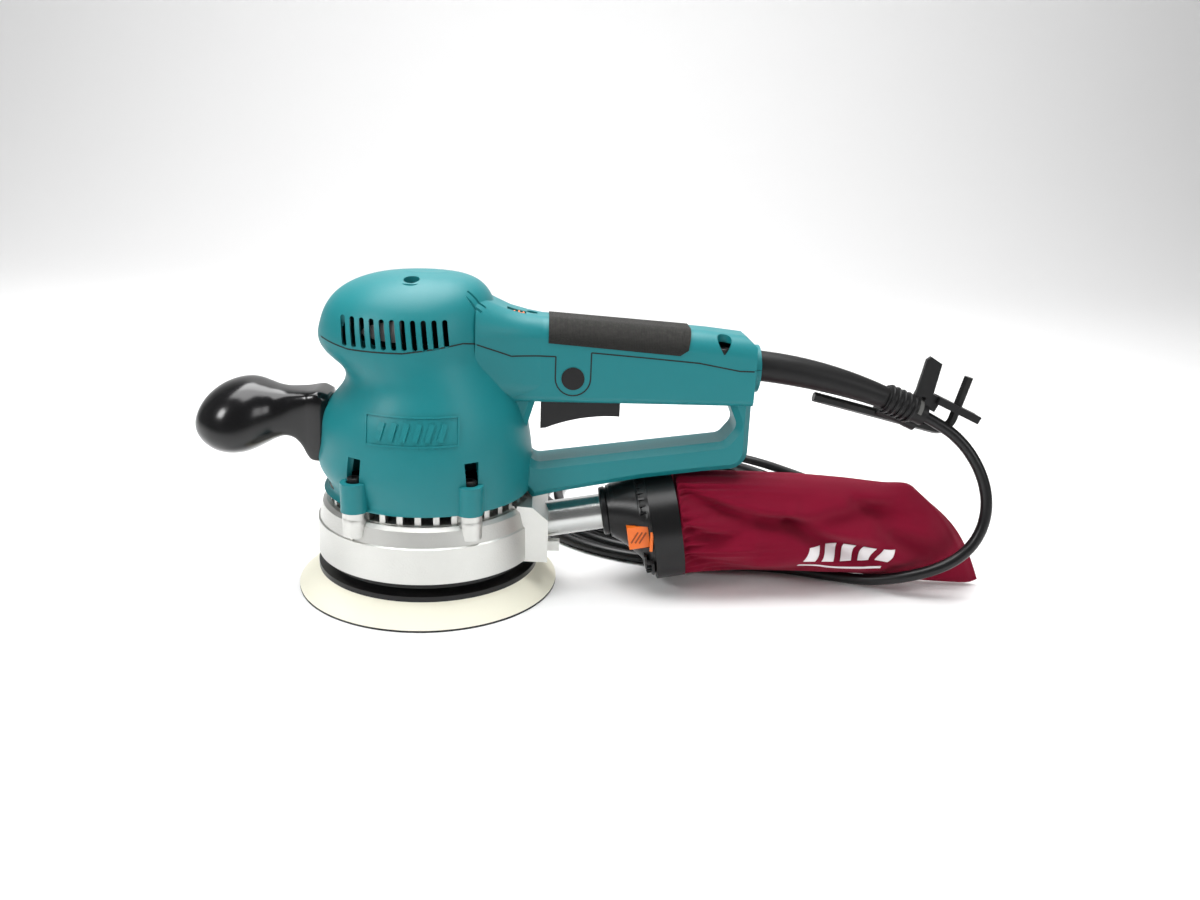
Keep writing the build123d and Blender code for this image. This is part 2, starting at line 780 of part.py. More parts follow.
key_across = 5.0  # across the flats of the hex key
key_side = 4.6  # the key lies this far beyond the guard's centre, along +Y
key_corner = (304.0, key_side, 96.4)
key_tail = (221.5, key_side, 115.8)
key_tip = (312.0, key_side, 130.0)
with BuildPart() as hex_wrench:
    with BuildLine() as key_line:
        FilletPolyline(key_tail, key_corner, key_tip, radius=9)
    with BuildSketch(Plane(key_tail, z_dir=key_line.line % 0)):
        RegularPolygon(key_across / sqrt(3), 6)
    sweep()
save(hex_wrench, "hex_wrench")

holder_start = 93.0
holder_step = 112.0
holder_end = 119.0
ring_width = 2.6
with BuildPart() as wrench_holder:
    with BuildSketch(guard_plane(holder_start)):
        Circle(7.8)
        with Locations((key_side, -7)):
            Circle(4.8)
    extrude(amount=holder_step - holder_start)
    with BuildSketch(guard_plane(holder_step)):
        Circle(6.4)
        with Locations((key_side, -7)):
            Circle(4.4)
    extrude(amount=holder_end - holder_step)
    # flat strap standing up from the sleeve
    with BuildSketch(Plane.XZ.offset(-0.4)):
        with BuildLine():
            Polyline(
                (277.6, 112), (283.2, 140.8), (285.6, 142.6), (292.4, 138.6), (288.4, 112),
                close=True,
            )
        make_face()
    extrude(amount=2.6)
    # eye that the key's short arm stands in
    with BuildSketch(guard_plane(guard_length).offset(8)):
        with Locations((2.4, 11.6)):
            Rectangle(11, 4.4)
    extrude(amount=28)
    with BuildSketch(guard_plane(guard_length).offset(-4)):
        with Locations((3.2, 8.8)):
            Rectangle(7, 9)
    extrude(amount=14)
    add(cord_guard.part, mode=Mode.SUBTRACT)
    with BuildSketch(guard_plane(guard_length - 1)):
        Circle(cord_radius + 1)
    extrude(amount=20, mode=Mode.SUBTRACT)
    add(hex_wrench.part, mode=Mode.SUBTRACT)
    with BuildSketch(guard_plane(holder_step)):
        Circle(10)
        Circle(6.4, mode=Mode.SUBTRACT)
        with Locations((0, -20)):
            Rectangle(40, 40, mode=Mode.SUBTRACT)
    extrude(amount=ring_width, mode=Mode.SUBTRACT)
save(wrench_holder, "wrench_holder")

with BuildPart() as holder_ring:
    with BuildSketch(guard_plane(holder_step)):
        Circle(7.6)
        Circle(6.4, mode=Mode.SUBTRACT)
        with Locations((0, -20)):
            Rectangle(40, 40, mode=Mode.SUBTRACT)
    extrude(amount=ring_width)
save(holder_ring, "holder_ring")

# ---------------------------------------------------------------- mains cord, coil and plug
# points of the cord from the guard, round the bag and under it to the coil
cord_route = [
    (281.9, 0.0, 109.4), (298.0, -3.0, 102.1), (309.0, -6.5, 93.6), (317.3, -9.8, 83.2),
    (323.2, -13.0, 71.0), (325.8, -15.8, 57.8), (324.1, -18.2, 44.6), (318.0, -20.0, 32.8),
    (308.0, -20.8, 23.8), (294.0, -20.0, 16.8), (278.2, -15.8, 10.8), (262.0, -8.0, 5.6),
    (245.0, 2.0, 3.7), (226.0, 10.5, 3.45), (204.0, 15.6, 3.6), (182.0, 16.4, 3.45),
]


def route_radii(points):
    """Radius at each inner point: 0.45 of the shorter run over the tangent of half the turn."""
    places = [Vector(*point) for point in points]
    radii = []
    for before, here, after in zip(places, places[1:], places[2:]):
        first, second = here - before, after - here
        turn = radians(first.get_angle(second))
        radii.append(0.45 * min(first.length, second.length) / (sin(turn / 2) / cos(turn / 2)))
    return radii


with BuildPart() as cord_tube:
    with BuildLine() as cord_line:
        FilletPolyline(*cord_route, radius=route_radii(cord_route))
    with BuildSketch(Plane(cord_route[0], z_dir=cord_line.line % 0)):
        Circle(cord_radius)
    sweep()
save(cord_tube, "cord_tube")
tube_length = sum(edge.length for edge in cord_line.edges())
section_area = 3.14159265 * cord_radius**2
print("cord radii", [round(radius) for radius in route_radii(cord_route)])
print("cord tube", round(tube_length), "mm, volume ratio",
      round(cord_tube.part.volume / (tube_length * section_area), 3))
print("left for the coil", round(cord_length - tube_length), "mm")

layer = cord_diameter + 0.6
with BuildPart() as cord_coil:
    with BuildSketch(Plane.XZ):
        with BuildLine():
            Polyline(
                (coil_inner, 0), (coil_outer, 0), (coil_outer, layer),
                (coil_outer - 14, 2 * layer), (coil_inner, 2 * layer), close=True,
            )
        make_face()
    revolve()
    cord_coil.part.move(Location((*coil_centre, 0)))
save(cord_coil, "cord_coil")

plug_centre = (coil_centre[0] + 42, coil_centre[1])
plug_height = 9.0
with BuildPart() as plug_body:
    with BuildSketch(Plane.YZ.offset(plug_centre[0] - 20)):
        with Locations((plug_centre[1], plug_height)):
            RectangleRounded(34, 17, 7)
    with BuildSketch(Plane.YZ.offset(plug_centre[0] + 12)):
        with Locations((plug_centre[1], plug_height)):
            RectangleRounded(20, 14, 5)
    loft()
    with BuildSketch(Plane.YZ.offset(plug_centre[0] + 10)):
        with Locations((plug_centre[1], plug_height)):
            Circle(5.4)
    with BuildSketch(Plane.YZ.offset(coil_centre[0] + coil_inner)):
        with Locations((plug_centre[1], plug_height)):
            Circle(4.2)
    loft()
save(plug_body, "plug_body")

with BuildPart() as plug_pins:
    for side in (-9.5, 9.5):
        with Locations((plug_centre[0] - 20, plug_centre[1] + side, plug_height)):
            Cylinder(2.4, 19, rotation=(0, 90, 0), align=(Align.CENTER, Align.CENTER, Align.MAX))
save(plug_pins, "plug_pins")

# ---------------------------------------------------------------- dust nozzle and bag
ring_start = 58.8
ring_width_along = 16.4
release_place = (121.0, 37.5)  # x and z of the release buttons
# distance along the spout axis, drop of the centre under it, radius
nozzle_sections = [
    (36.0, 0.6, 15.2), (44.0, 3.0, 19.4), (51.5, 6.6, 24.4), (ring_start, ring_drop - 2.4, 30.0),
]
with BuildPart() as dust_nozzle:
    for along, drop, radius in nozzle_sections:
        with BuildSketch(spout_plane.offset(along)):
            with Locations((0, -drop)):
                Circle(radius)
    loft()
    with BuildSketch(spout_plane.offset(32)):
        Circle(13)
    extrude(amount=6)
    # pockets of the release buttons
    for side in (-1, 1):
        with Locations((release_place[0], side * 24, release_place[1])):
            Box(12.4, 20.8, 13.4, rotation=(0, -spout_tilt, 0), mode=Mode.SUBTRACT)
    with BuildSketch(spout_plane.offset(30)):
        Circle(spout_radius + 0.12)
    extrude(amount=25, mode=Mode.SUBTRACT)
    with BuildSketch(spout_plane.offset(50)):
        with Locations((0, -6)):
            Circle(17)
    with BuildSketch(spout_plane.offset(ring_start)):
        with Locations((0, -ring_drop)):
            Circle(28)
    loft(mode=Mode.SUBTRACT)
save(dust_nozzle, "dust_nozzle")

with BuildPart() as bag_ring:
    with BuildSketch(spout_plane.offset(ring_start + 0.1)):
        with Locations((0, -ring_drop)):
            Circle(ring_radius)
            Circle(28.4, mode=Mode.SUBTRACT)
    extrude(amount=ring_width_along)
save(bag_ring, "bag_ring")

# release buttons in both cheeks of the nozzle, pressed inwards
release_face = 25.4  # their outer faces stand this far from the centre plane
for side, label in ((-1, "release_button_near"), (1, "release_button_far")):
    with BuildPart() as release_button:
        with Locations((release_place[0], side * (release_face - 4), release_place[1])):
            Box(12, 8, 13, rotation=(0, -spout_tilt, 0))
    save(release_button, label)

# the cloth bag: an upright pouch, round at the ring, flat towards its slanting end seam
# x, lowest z, highest z and half width of each section
bag_sections = [
    (140.0, 7.4, 68.8, 29.2), (153.0, 8.0, 69.6, 29.0), (175.0, 8.6, 69.8, 28.6), (205.0, 8.6, 69.0, 27.0),
    (240.0, 8.8, 67.0, 22.5), (266.0, 9.0, 66.0, 17.0), (281.0, 5.4, 65.0, 12.0),
    (297.0, 2.6, 51.0, 8.6), (317.0, 1.2, 31.0, 6.0), (334.0, 0.6, 9.0, 3.2),
]
with BuildPart() as dust_bag:
    for along, low, high, half_width in bag_sections:
        with BuildSketch(Plane((along, 0, (low + high) / 2), x_dir=(0, 1, 0), z_dir=(1, 0, 0))):
            Ellipse(half_width, (high - low) / 2)
    loft(ruled=True)
    with BuildSketch(spout_plane.offset(ring_start + ring_width_along + 0.15)):
        Rectangle(200, 200)
    extrude(amount=-60, mode=Mode.SUBTRACT)
save(dust_bag, "dust_bag")
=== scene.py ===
import json
from math import cos, exp, pi, radians, sin, sqrt

import bmesh
import bpy
from bpy.props import FloatProperty, FloatVectorProperty, IntProperty, PointerProperty
from bpy.types import Operator, Panel, PropertyGroup
from mathutils import Matrix, Vector
from mathutils.bvhtree import BVHTree


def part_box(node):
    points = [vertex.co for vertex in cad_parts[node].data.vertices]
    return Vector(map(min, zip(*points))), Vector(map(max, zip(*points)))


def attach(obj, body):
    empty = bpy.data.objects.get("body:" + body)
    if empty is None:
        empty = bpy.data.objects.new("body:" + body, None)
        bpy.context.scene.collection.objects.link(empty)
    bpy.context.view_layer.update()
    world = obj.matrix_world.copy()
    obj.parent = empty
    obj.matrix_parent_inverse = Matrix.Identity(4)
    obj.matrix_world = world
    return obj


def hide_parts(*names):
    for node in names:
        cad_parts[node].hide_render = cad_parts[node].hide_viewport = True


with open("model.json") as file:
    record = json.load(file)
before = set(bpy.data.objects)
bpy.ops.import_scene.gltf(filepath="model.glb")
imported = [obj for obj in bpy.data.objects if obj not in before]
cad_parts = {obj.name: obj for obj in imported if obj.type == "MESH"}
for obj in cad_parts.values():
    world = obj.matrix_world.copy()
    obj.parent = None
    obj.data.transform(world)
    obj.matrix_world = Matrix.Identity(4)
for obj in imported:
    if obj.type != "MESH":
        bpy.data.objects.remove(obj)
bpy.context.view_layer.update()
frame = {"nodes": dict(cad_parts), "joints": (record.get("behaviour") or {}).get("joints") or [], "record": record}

bl_info = {
    "name": "Orbital Sander",
    "version": (1, 0, 0),
    "blender": (4, 5, 0),
    "location": "View3D > Sidebar > Sander",
    "description": "Dresses the CAD frame of a random-orbit sander",
    "category": "Object",
}

MM = 0.001
SKIN_STEP = 0.4  # strips on a skin are sampled at whole multiples of this, in millimetres
NODES = frame["nodes"]
JOINTS = {joint["name"]: joint for joint in frame["joints"]}
SPOUT_AXIS = Vector(JOINTS["nozzle_pull"]["axis"])
SPOUT_UP = SPOUT_AXIS.cross(Vector((0, 1, 0)))
if SPOUT_UP.z < 0:
    SPOUT_UP = -SPOUT_UP
SPOUT_ROOT = Vector((69.3, 0, 38.3)) * MM

# screws of the motor housing as (x, y), and of the top cover as (x, y, z), in millimetres
HOUSING_SCREWS = ((-34.0, -48.5), (27.0, -49.5), (-34.0, 48.5), (27.0, 49.5))
COVER_SCREWS = ((-6, -20, 174.5), (57.5, 0, 158.6), (163.5, -13, 145.3))


def add_object(name, data):
    """A new object of this data in the scene."""
    obj = bpy.data.objects.new(name, data)
    bpy.context.scene.collection.objects.link(obj)
    return obj


def settings():
    """The sander's own settings, which the panel shows."""
    return bpy.context.scene.sander


# ---- settings
def colour_property(name, description, default):
    """A colour that the panel can change."""
    return FloatVectorProperty(name=name, description=description, subtype="COLOR", size=3,
                               min=0, max=1, default=default)


class SanderColours(PropertyGroup):
    """Colours of the sander's main materials."""

    housing: colour_property("Housing", "Moulded housing plastic", (0.006, 0.185, 0.205))
    cloth: colour_property("Bag cloth", "Woven dust bag", (0.2, 0.003, 0.022))
    foam: colour_property("Foam", "Foam of the backing pad", (0.86, 0.84, 0.7))
    button: colour_property("Buttons", "Release buttons and speed dial", (0.85, 0.16, 0.01))


class SanderSizes(PropertyGroup):
    """Sizes of the cord and of the trim."""

    cord_diameter: FloatProperty(
        name="Cord diameter", description="Outer diameter of the mains cord",
        default=6.8 * MM, min=0.004, max=0.01, unit="LENGTH",
    )
    cord_length: FloatProperty(
        name="Cord length", description="From the guard to the plug",
        default=2.5, min=1.0, max=5.0, unit="LENGTH",
    )
    coil_turns: FloatProperty(
        name="Coil turns", description="Turns of the loose coil", default=3.725, min=1, max=8,
    )
    gather_count: IntProperty(
        name="Gathers", description="Pleats of the bag's neck", default=34, min=8, max=80,
    )
    grip_rib_count: IntProperty(
        name="Button ribs", description="Ribs on each release button", default=3, min=2, max=9,
    )


class SanderSettings(PropertyGroup):
    """Everything a user of the sander may set."""

    colours: PointerProperty(type=SanderColours)
    sizes: PointerProperty(type=SanderSizes)


# ---- shader groups
def new_group(name, inputs):
    """An empty shader group with these float inputs and a Value output."""
    group = bpy.data.node_groups.new(name, "ShaderNodeTree")
    for label, value in inputs:
        socket = group.interface.new_socket(
            name=label, in_out="INPUT", socket_type="NodeSocketFloat")
        socket.default_value = value
    group.interface.new_socket(name="Value", in_out="OUTPUT", socket_type="NodeSocketFloat")
    return group, group.nodes.new("NodeGroupInput"), group.nodes.new("NodeGroupOutput")


def maths(tree, operation, first, second=None, clamp=False):
    """A Math node whose inputs are sockets or numbers; gives its output socket."""
    node = tree.nodes.new("ShaderNodeMath")
    node.operation = operation
    node.use_clamp = clamp
    for place, value in enumerate((first, second)):
        if value is None:
            continue
        if isinstance(value, (int, float)):
            node.inputs[place].default_value = value
        else:
            tree.links.new(value, node.inputs[place])
    return node.outputs[0]


def noise(tree, scale, detail=3.0, rough=0.55):
    """Noise on Object coordinates; scale is a number or a socket."""
    place = tree.nodes.new("ShaderNodeTexCoord").outputs["Object"]
    node = tree.nodes.new("ShaderNodeTexNoise")
    node.inputs["Detail"].default_value = detail
    node.inputs["Roughness"].default_value = rough
    tree.links.new(place, node.inputs["Vector"])
    if isinstance(scale, (int, float)):
        node.inputs["Scale"].default_value = scale
    else:
        tree.links.new(scale, node.inputs["Scale"])
    return node.outputs["Fac"]


def grain_group():
    """Fine pebbled grain of moulded plastic, rubber or cast metal, as a height."""
    group, enter, leave = new_group("moulded_grain", [("Grain Scale", 1400.0), ("Depth", 0.5)])
    fine = noise(group, enter.outputs["Grain Scale"], 2.0)
    height = maths(group, "MULTIPLY", fine, enter.outputs["Depth"])
    group.links.new(height, leave.inputs["Value"])
    return group


def handling_group():
    """Broad faint smears left by hands, as a change of roughness."""
    group, enter, leave = new_group("handling_smears", [("Base", 0.4), ("Spread", 0.12)])
    broad = noise(group, 38.0, 4.0, 0.6)
    drift = maths(group, "SUBTRACT", broad, 0.5)
    spread = maths(group, "MULTIPLY", drift, enter.outputs["Spread"])
    value = maths(group, "ADD", enter.outputs["Base"], spread, clamp=True)
    group.links.new(value, leave.inputs["Value"])
    return group


def dust_group():
    """Sanding dust settled on faces that look up, as a mask."""
    group, enter, leave = new_group("settled_dust", [("Amount", 0.1)])
    normal = group.nodes.new("ShaderNodeNewGeometry").outputs["Normal"]
    split = group.nodes.new("ShaderNodeSeparateXYZ")
    group.links.new(normal, split.inputs[0])
    up = maths(group, "MAXIMUM", split.outputs["Z"], 0.0)
    speck = maths(group, "POWER", noise(group, 420.0, 5.0, 0.7), 3.0)
    mask = maths(group, "MULTIPLY", maths(group, "MULTIPLY", up, speck), enter.outputs["Amount"])
    group.links.new(mask, leave.inputs["Value"])
    return group


def mottle_group():
    """Slow light and dark drift of a colour, as a mask round one half."""
    group, enter, leave = new_group("colour_drift", [("Patch Scale", 30.0), ("Contrast", 0.5)])
    patch = noise(group, enter.outputs["Patch Scale"], 5.0, 0.6)
    drift = maths(group, "MULTIPLY", maths(group, "SUBTRACT", patch, 0.5), enter.outputs["Contrast"])
    group.links.new(maths(group, "ADD", drift, 0.5, clamp=True), leave.inputs["Value"])
    return group


GROUPS = {}


def place_group(tree, name, **values):
    """Puts a shared group into a material and gives its Value socket."""
    node = tree.nodes.new("ShaderNodeGroup")
    node.node_tree = GROUPS[name]
    for label, value in values.items():
        node.inputs[label.replace("_", " ").title()].default_value = value
    return node.outputs["Value"]


# ---- materials
def set_inputs(node, **values):
    """Sets a node's inputs; a name's underscores stand for spaces."""
    for label, value in values.items():
        node.inputs[label.replace("_", " ")].default_value = value


def mix_colour(tree, mask, first, second):
    """Mixes two colours by a mask; each is a tuple or a socket."""
    node = tree.nodes.new("ShaderNodeMix")
    node.data_type = "RGBA"
    tree.links.new(mask, node.inputs["Factor"])
    for socket, value in ((node.inputs[6], first), (node.inputs[7], second)):
        if isinstance(value, tuple):
            socket.default_value = (*value, 1)
        else:
            tree.links.new(value, socket)
    return node.outputs[2]


def shade(colour, factor):
    """The colour made lighter or darker, at most full."""
    return tuple(min(1.0, part * factor) for part in colour)


def base_material(name, colour, rough, spread=0.1, grain=0.5, grain_scale=1400.0, bump=0.15,
                  metal=0.0, dust=0.0, drift=0.35, patch=30.0, specular=None):
    """One finish: drifting colour, smeared roughness, fine grain and a little dust."""
    material = bpy.data.materials.new(name)
    material.use_nodes = True
    tree = material.node_tree
    shader = tree.nodes["Principled BSDF"]
    colour = tuple(colour)
    mask = place_group(tree, "colour_drift", patch_scale=patch, contrast=drift)
    tint = mix_colour(tree, mask, shade(colour, 0.86), shade(colour, 1.14))
    if dust:
        settled = place_group(tree, "settled_dust", amount=dust)
        tint = mix_colour(tree, settled, tint, (0.62, 0.58, 0.5))
    tree.links.new(tint, shader.inputs["Base Color"])
    tree.links.new(place_group(tree, "handling_smears", base=rough, spread=spread),
                   shader.inputs["Roughness"])
    height = place_group(tree, "moulded_grain", grain_scale=grain_scale, depth=grain)
    relief = tree.nodes.new("ShaderNodeBump")
    set_inputs(relief, Strength=bump, Distance=0.0002)
    tree.links.new(height, relief.inputs["Height"])
    tree.links.new(relief.outputs["Normal"], shader.inputs["Normal"])
    set_inputs(shader, Metallic=metal)
    if specular is not None:
        set_inputs(shader, Specular_IOR_Level=specular)
    return material


def cloth_material(colour):
    """Plain woven cotton: threads over and under, a soft nap and patches of drifting colour."""
    material = base_material("bag_cotton", colour, 0.86, 0.06, grain=0.6, grain_scale=900.0,
                             bump=0.2, drift=0.7, patch=26.0)
    tree = material.node_tree
    shader = tree.nodes["Principled BSDF"]
    set_inputs(shader, Sheen_Weight=0.12, Sheen_Roughness=0.5, Sheen_Tint=(0.9, 0.35, 0.42, 1),
               Specular_IOR_Level=0.12)
    threads = tree.nodes.new("ShaderNodeUVMap")
    threads.uv_map = "cut"
    split = tree.nodes.new("ShaderNodeSeparateXYZ")
    tree.links.new(threads.outputs["UV"], split.inputs[0])
    thread_pitch = 0.55
    across, along = (
        maths(tree, "SINE", maths(tree, "MULTIPLY", split.outputs[axis], 2 * pi / thread_pitch))
        for axis in ("X", "Y"))
    weave = maths(tree, "MULTIPLY", maths(tree, "MULTIPLY", across, along), 0.5)
    height = maths(tree, "ADD", weave, noise(tree, 700.0, 3.0))
    relief = next(node for node in tree.nodes if node.type == "BUMP")
    set_inputs(relief, Distance=0.0003, Strength=0.5)
    tree.links.new(height, relief.inputs["Height"])
    return material


def add_knurl(material, pitch):
    """Adds a moulded diamond pattern of this pitch, in metres, to a material's relief."""
    tree = material.node_tree
    place = tree.nodes.new("ShaderNodeTexCoord").outputs["Object"]
    split = tree.nodes.new("ShaderNodeSeparateXYZ")
    tree.links.new(place, split.inputs[0])
    waves = []
    for operation in ("ADD", "SUBTRACT"):
        slant = maths(tree, operation, split.outputs["X"],
                      maths(tree, "ADD", split.outputs["Z"], split.outputs["Y"]))
        waves.append(maths(tree, "SINE", maths(tree, "MULTIPLY", slant, 2 * pi / pitch)))
    relief = next(node for node in tree.nodes if node.type == "BUMP")
    grain = relief.inputs["Height"].links[0].from_socket
    diamonds = maths(tree, "MULTIPLY", waves[0], waves[1])
    tree.links.new(maths(tree, "ADD", grain, diamonds), relief.inputs["Height"])
    relief.inputs["Distance"].default_value = 0.0004


MATERIALS = {}


def build_materials():
    """Every finish of the sander, by name."""
    colours = settings().colours
    housing, cloth, foam, button = (
        tuple(colours.housing), tuple(colours.cloth), tuple(colours.foam), tuple(colours.button)
    )

    def finish(name, *look, **details):
        MATERIALS[name] = base_material(name, *look, **details)

    finish("teal_plastic", housing, 0.44, 0.1, grain=0.6, grain_scale=1500.0, bump=0.3, dust=0.05,
        drift=0.18, specular=0.36)
    finish("grip_rubber", (0.018, 0.0175, 0.016), 0.72, 0.08, grain=1.0, grain_scale=1100.0,
           bump=0.8,
        dust=0.12, specular=0.3)
    add_knurl(MATERIALS["grip_rubber"], 0.0018)
    finish("black_gloss", (0.004, 0.004, 0.0045), 0.2, 0.08, grain=0.3, bump=0.08, drift=0.2)
    finish("black_plastic", (0.006, 0.006, 0.0065), 0.3, 0.1, grain=0.6, bump=0.2, dust=0.03,
        specular=0.3)
    finish("cast_aluminium", (0.6, 0.6, 0.575), 0.42, 0.12, grain=1.0, grain_scale=950.0, bump=0.7,
        metal=0.95, drift=0.3, patch=60.0)
    finish("spout_aluminium", (0.55, 0.56, 0.55), 0.26, 0.1, grain=0.4, bump=0.2, metal=0.95)
    finish("skirt_rubber", (0.007, 0.007, 0.0075), 0.46, 0.12, grain=0.7, grain_scale=900.0,
           bump=0.3,
        dust=0.03, specular=0.28)
    finish("steel", (0.5, 0.5, 0.5), 0.3, metal=1.0)
    finish("black_steel", (0.012, 0.012, 0.012), 0.36, 0.1, grain=0.6, bump=0.3, metal=0.3,
           specular=0.35)
    finish("laminations", (0.22, 0.21, 0.2), 0.45, metal=0.9)
    finish("copper", (0.55, 0.2, 0.09), 0.35, metal=0.9)
    finish("carbon", (0.02, 0.02, 0.02), 0.6)
    MATERIALS["foam"] = base_material(
        "pad_foam", foam, 0.85, 0.08, grain=1.0, grain_scale=650.0, bump=0.5, drift=0.12)
    finish("hook_fabric", (0.03, 0.03, 0.03), 0.9, grain=1.0, grain_scale=1500.0, bump=1.0)
    finish("orange_plastic", button, 0.4, 0.08, grain=0.4, bump=0.15, drift=0.15)
    # the button ribs' dark orange is painted shade of grooves, not the buttons' own colour
    finish("button_groove_painted_shade", shade(button, 0.32), 0.6)
    finish("circuit_board", (0.02, 0.12, 0.04), 0.4)
    finish("grey_rubber", (0.1, 0.1, 0.095), 0.6, bump=0.3)
    finish("cord_pvc", (0.006, 0.006, 0.0065), 0.32, 0.12, grain=0.5, grain_scale=500.0, bump=0.2,
        specular=0.35)
    finish("pin_brass", (0.75, 0.72, 0.6), 0.25, metal=1.0)
    MATERIALS["bag_cloth"] = cloth_material(cloth)
    finish("print_ink", (0.8, 0.77, 0.78), 0.75, grain=0.8, bump=0.4)
    finish("seam_shadow", (0.006, 0.012, 0.012), 0.8)


# ---- mesh helpers
def piece_from(name, verts, faces, material, body, smooth=True):
    """A new mesh piece at the origin, riding on a body, finished in one material."""
    obj = loose_part(name, verts, faces)
    obj.data.materials.append(MATERIALS[material])
    for polygon in obj.data.polygons:
        polygon.use_smooth = smooth
    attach(obj, body)
    return obj


def tidy_mesh(obj):
    """Merges doubles and turns every face outwards."""
    work = bmesh.new()
    work.from_mesh(obj.data)
    bmesh.ops.remove_doubles(work, verts=work.verts, dist=1e-6)
    bmesh.ops.recalc_face_normals(work, faces=work.faces)
    work.to_mesh(obj.data)
    work.free()


def apply_modifiers(obj):
    """Bakes the object's modifiers into its mesh."""
    graph = bpy.context.evaluated_depsgraph_get()
    mesh = bpy.data.meshes.new_from_object(obj.evaluated_get(graph))
    obj.modifiers.clear()
    old = obj.data
    obj.data = mesh
    bpy.data.meshes.remove(old)


def bevel(obj, width, segments=2, angle=30):
    """Rounds the piece's sharp edges."""
    modifier = obj.modifiers.new("round", "BEVEL")
    modifier.width = width
    modifier.segments = segments
    modifier.limit_method = "ANGLE"
    modifier.angle_limit = radians(angle)
    apply_modifiers(obj)


def add_mesh(verts, faces, more_verts, more_faces):
    """Adds verts and faces to lists that already hold some."""
    start = len(verts)
    verts += more_verts
    faces += [tuple(start + k for k in face) for face in more_faces]


def rings_mesh(rings, closed_ends=True):
    """Verts and faces of a skin through rings of equal size."""
    count = len(rings[0])
    verts = [point for ring in rings for point in ring]
    faces = []
    for row in range(len(rings) - 1):
        for k in range(count):
            nxt = (k + 1) % count
            faces.append((row * count + k, row * count + nxt,
                          (row + 1) * count + nxt, (row + 1) * count + k))
    if closed_ends:
        for row in (0, len(rings) - 1):
            middle = sum((Vector(p) for p in rings[row]), Vector()) / count
            verts.append(middle)
            hub = len(verts) - 1
            for k in range(count):
                faces.append((hub, row * count + k, row * count + (k + 1) % count))
    return verts, faces


def smooth_rows(rows, steps):
    """Rows of a table with smooth in-between rows, through every row given."""
    made = []
    last = len(rows) - 1
    for k in range(last):
        before, start, end, after = (rows[max(0, min(last, k + j))] for j in (-1, 0, 1, 2))
        for j in range(steps):
            t = j / steps
            made.append([
                0.5 * (2 * b + (c - a) * t + (2 * a - 5 * b + 4 * c - d) * t * t
                       + (3 * b - a - 3 * c + d) * t ** 3)
                for a, b, c, d in zip(before, start, end, after)
            ])
    made.append(list(rows[-1]))
    return made


def ring_at(centre, right, up, radius, count=64):
    """Points of a circle in the plane of right and up."""
    angles = [2 * pi * k / count for k in range(count)]
    return [centre + right * (radius * cos(a)) + up * (radius * sin(a)) for a in angles]


def turned_rings(profile, count):
    """Rings about the z axis from (radius, height) rows in millimetres."""
    return [[Vector((radius * cos(2 * pi * k / count), radius * sin(2 * pi * k / count),
                     height)) * MM for k in range(count)]
            for radius, height in profile]


def spout_point(along, drop=0.0, side=0.0):
    """A point from distances in millimetres along, below and beside the spout axis."""
    return (SPOUT_ROOT + SPOUT_AXIS * (along * MM) - SPOUT_UP * (drop * MM)
            + Vector((0, side * MM, 0)))


def skin_tree(*names):
    """A search tree over the skins of CAD nodes."""
    verts, faces = [], []
    for name in names:
        mesh = NODES[name].data
        add_mesh(verts, faces, [vertex.co.copy() for vertex in mesh.vertices],
                 [polygon.vertices for polygon in mesh.polygons])
    return BVHTree.FromPolygons(verts, faces)


def on_skin(tree, x, z, side):
    """Point and outward normal on the near (-1) or far (1) cheek at x and z."""
    # a ray that enters a vent slot is tried again a little above or below
    for lift in (0, 0.4, -0.4, -0.9, -1.5, -2.2):
        start = Vector((x, side * 0.3, z + lift * MM))
        place, normal, _, _ = tree.ray_cast(start, Vector((0, -side, 0)))
        if place is not None and place.y * side > 0.004:
            break
    else:
        raise RuntimeError("the mark misses the housing")
    if normal.y * side < 0:
        normal = -normal
    return place, normal


def raised_strip(tree, path, width, height, side, spacing=10 * SKIN_STEP):
    """A raised strip on the skin along a path of (x, z) points in millimetres."""
    sunk = -0.3
    verts, faces = [], []
    for (x0, z0), (x1, z1) in zip(path, path[1:]):
        run = Vector((x1 - x0, 0, z1 - z0))
        across = Vector((-run.z, 0, run.x)).normalized() * (width / 2)
        count = max(2, int(run.length / spacing))
        rows = []
        for k in range(count + 1):
            middle = Vector((x0, 0, z0)) + run * (k / count)
            row = []
            for shift, lift in ((-1, sunk), (-1, height), (1, height), (1, sunk)):
                spot = middle + across * shift
                place, normal = on_skin(tree, spot.x * MM, spot.z * MM, side)
                row.append(place + normal * (lift * MM))
            rows.append(row)
        add_mesh(verts, faces, *rings_mesh(rows))
    return verts, faces


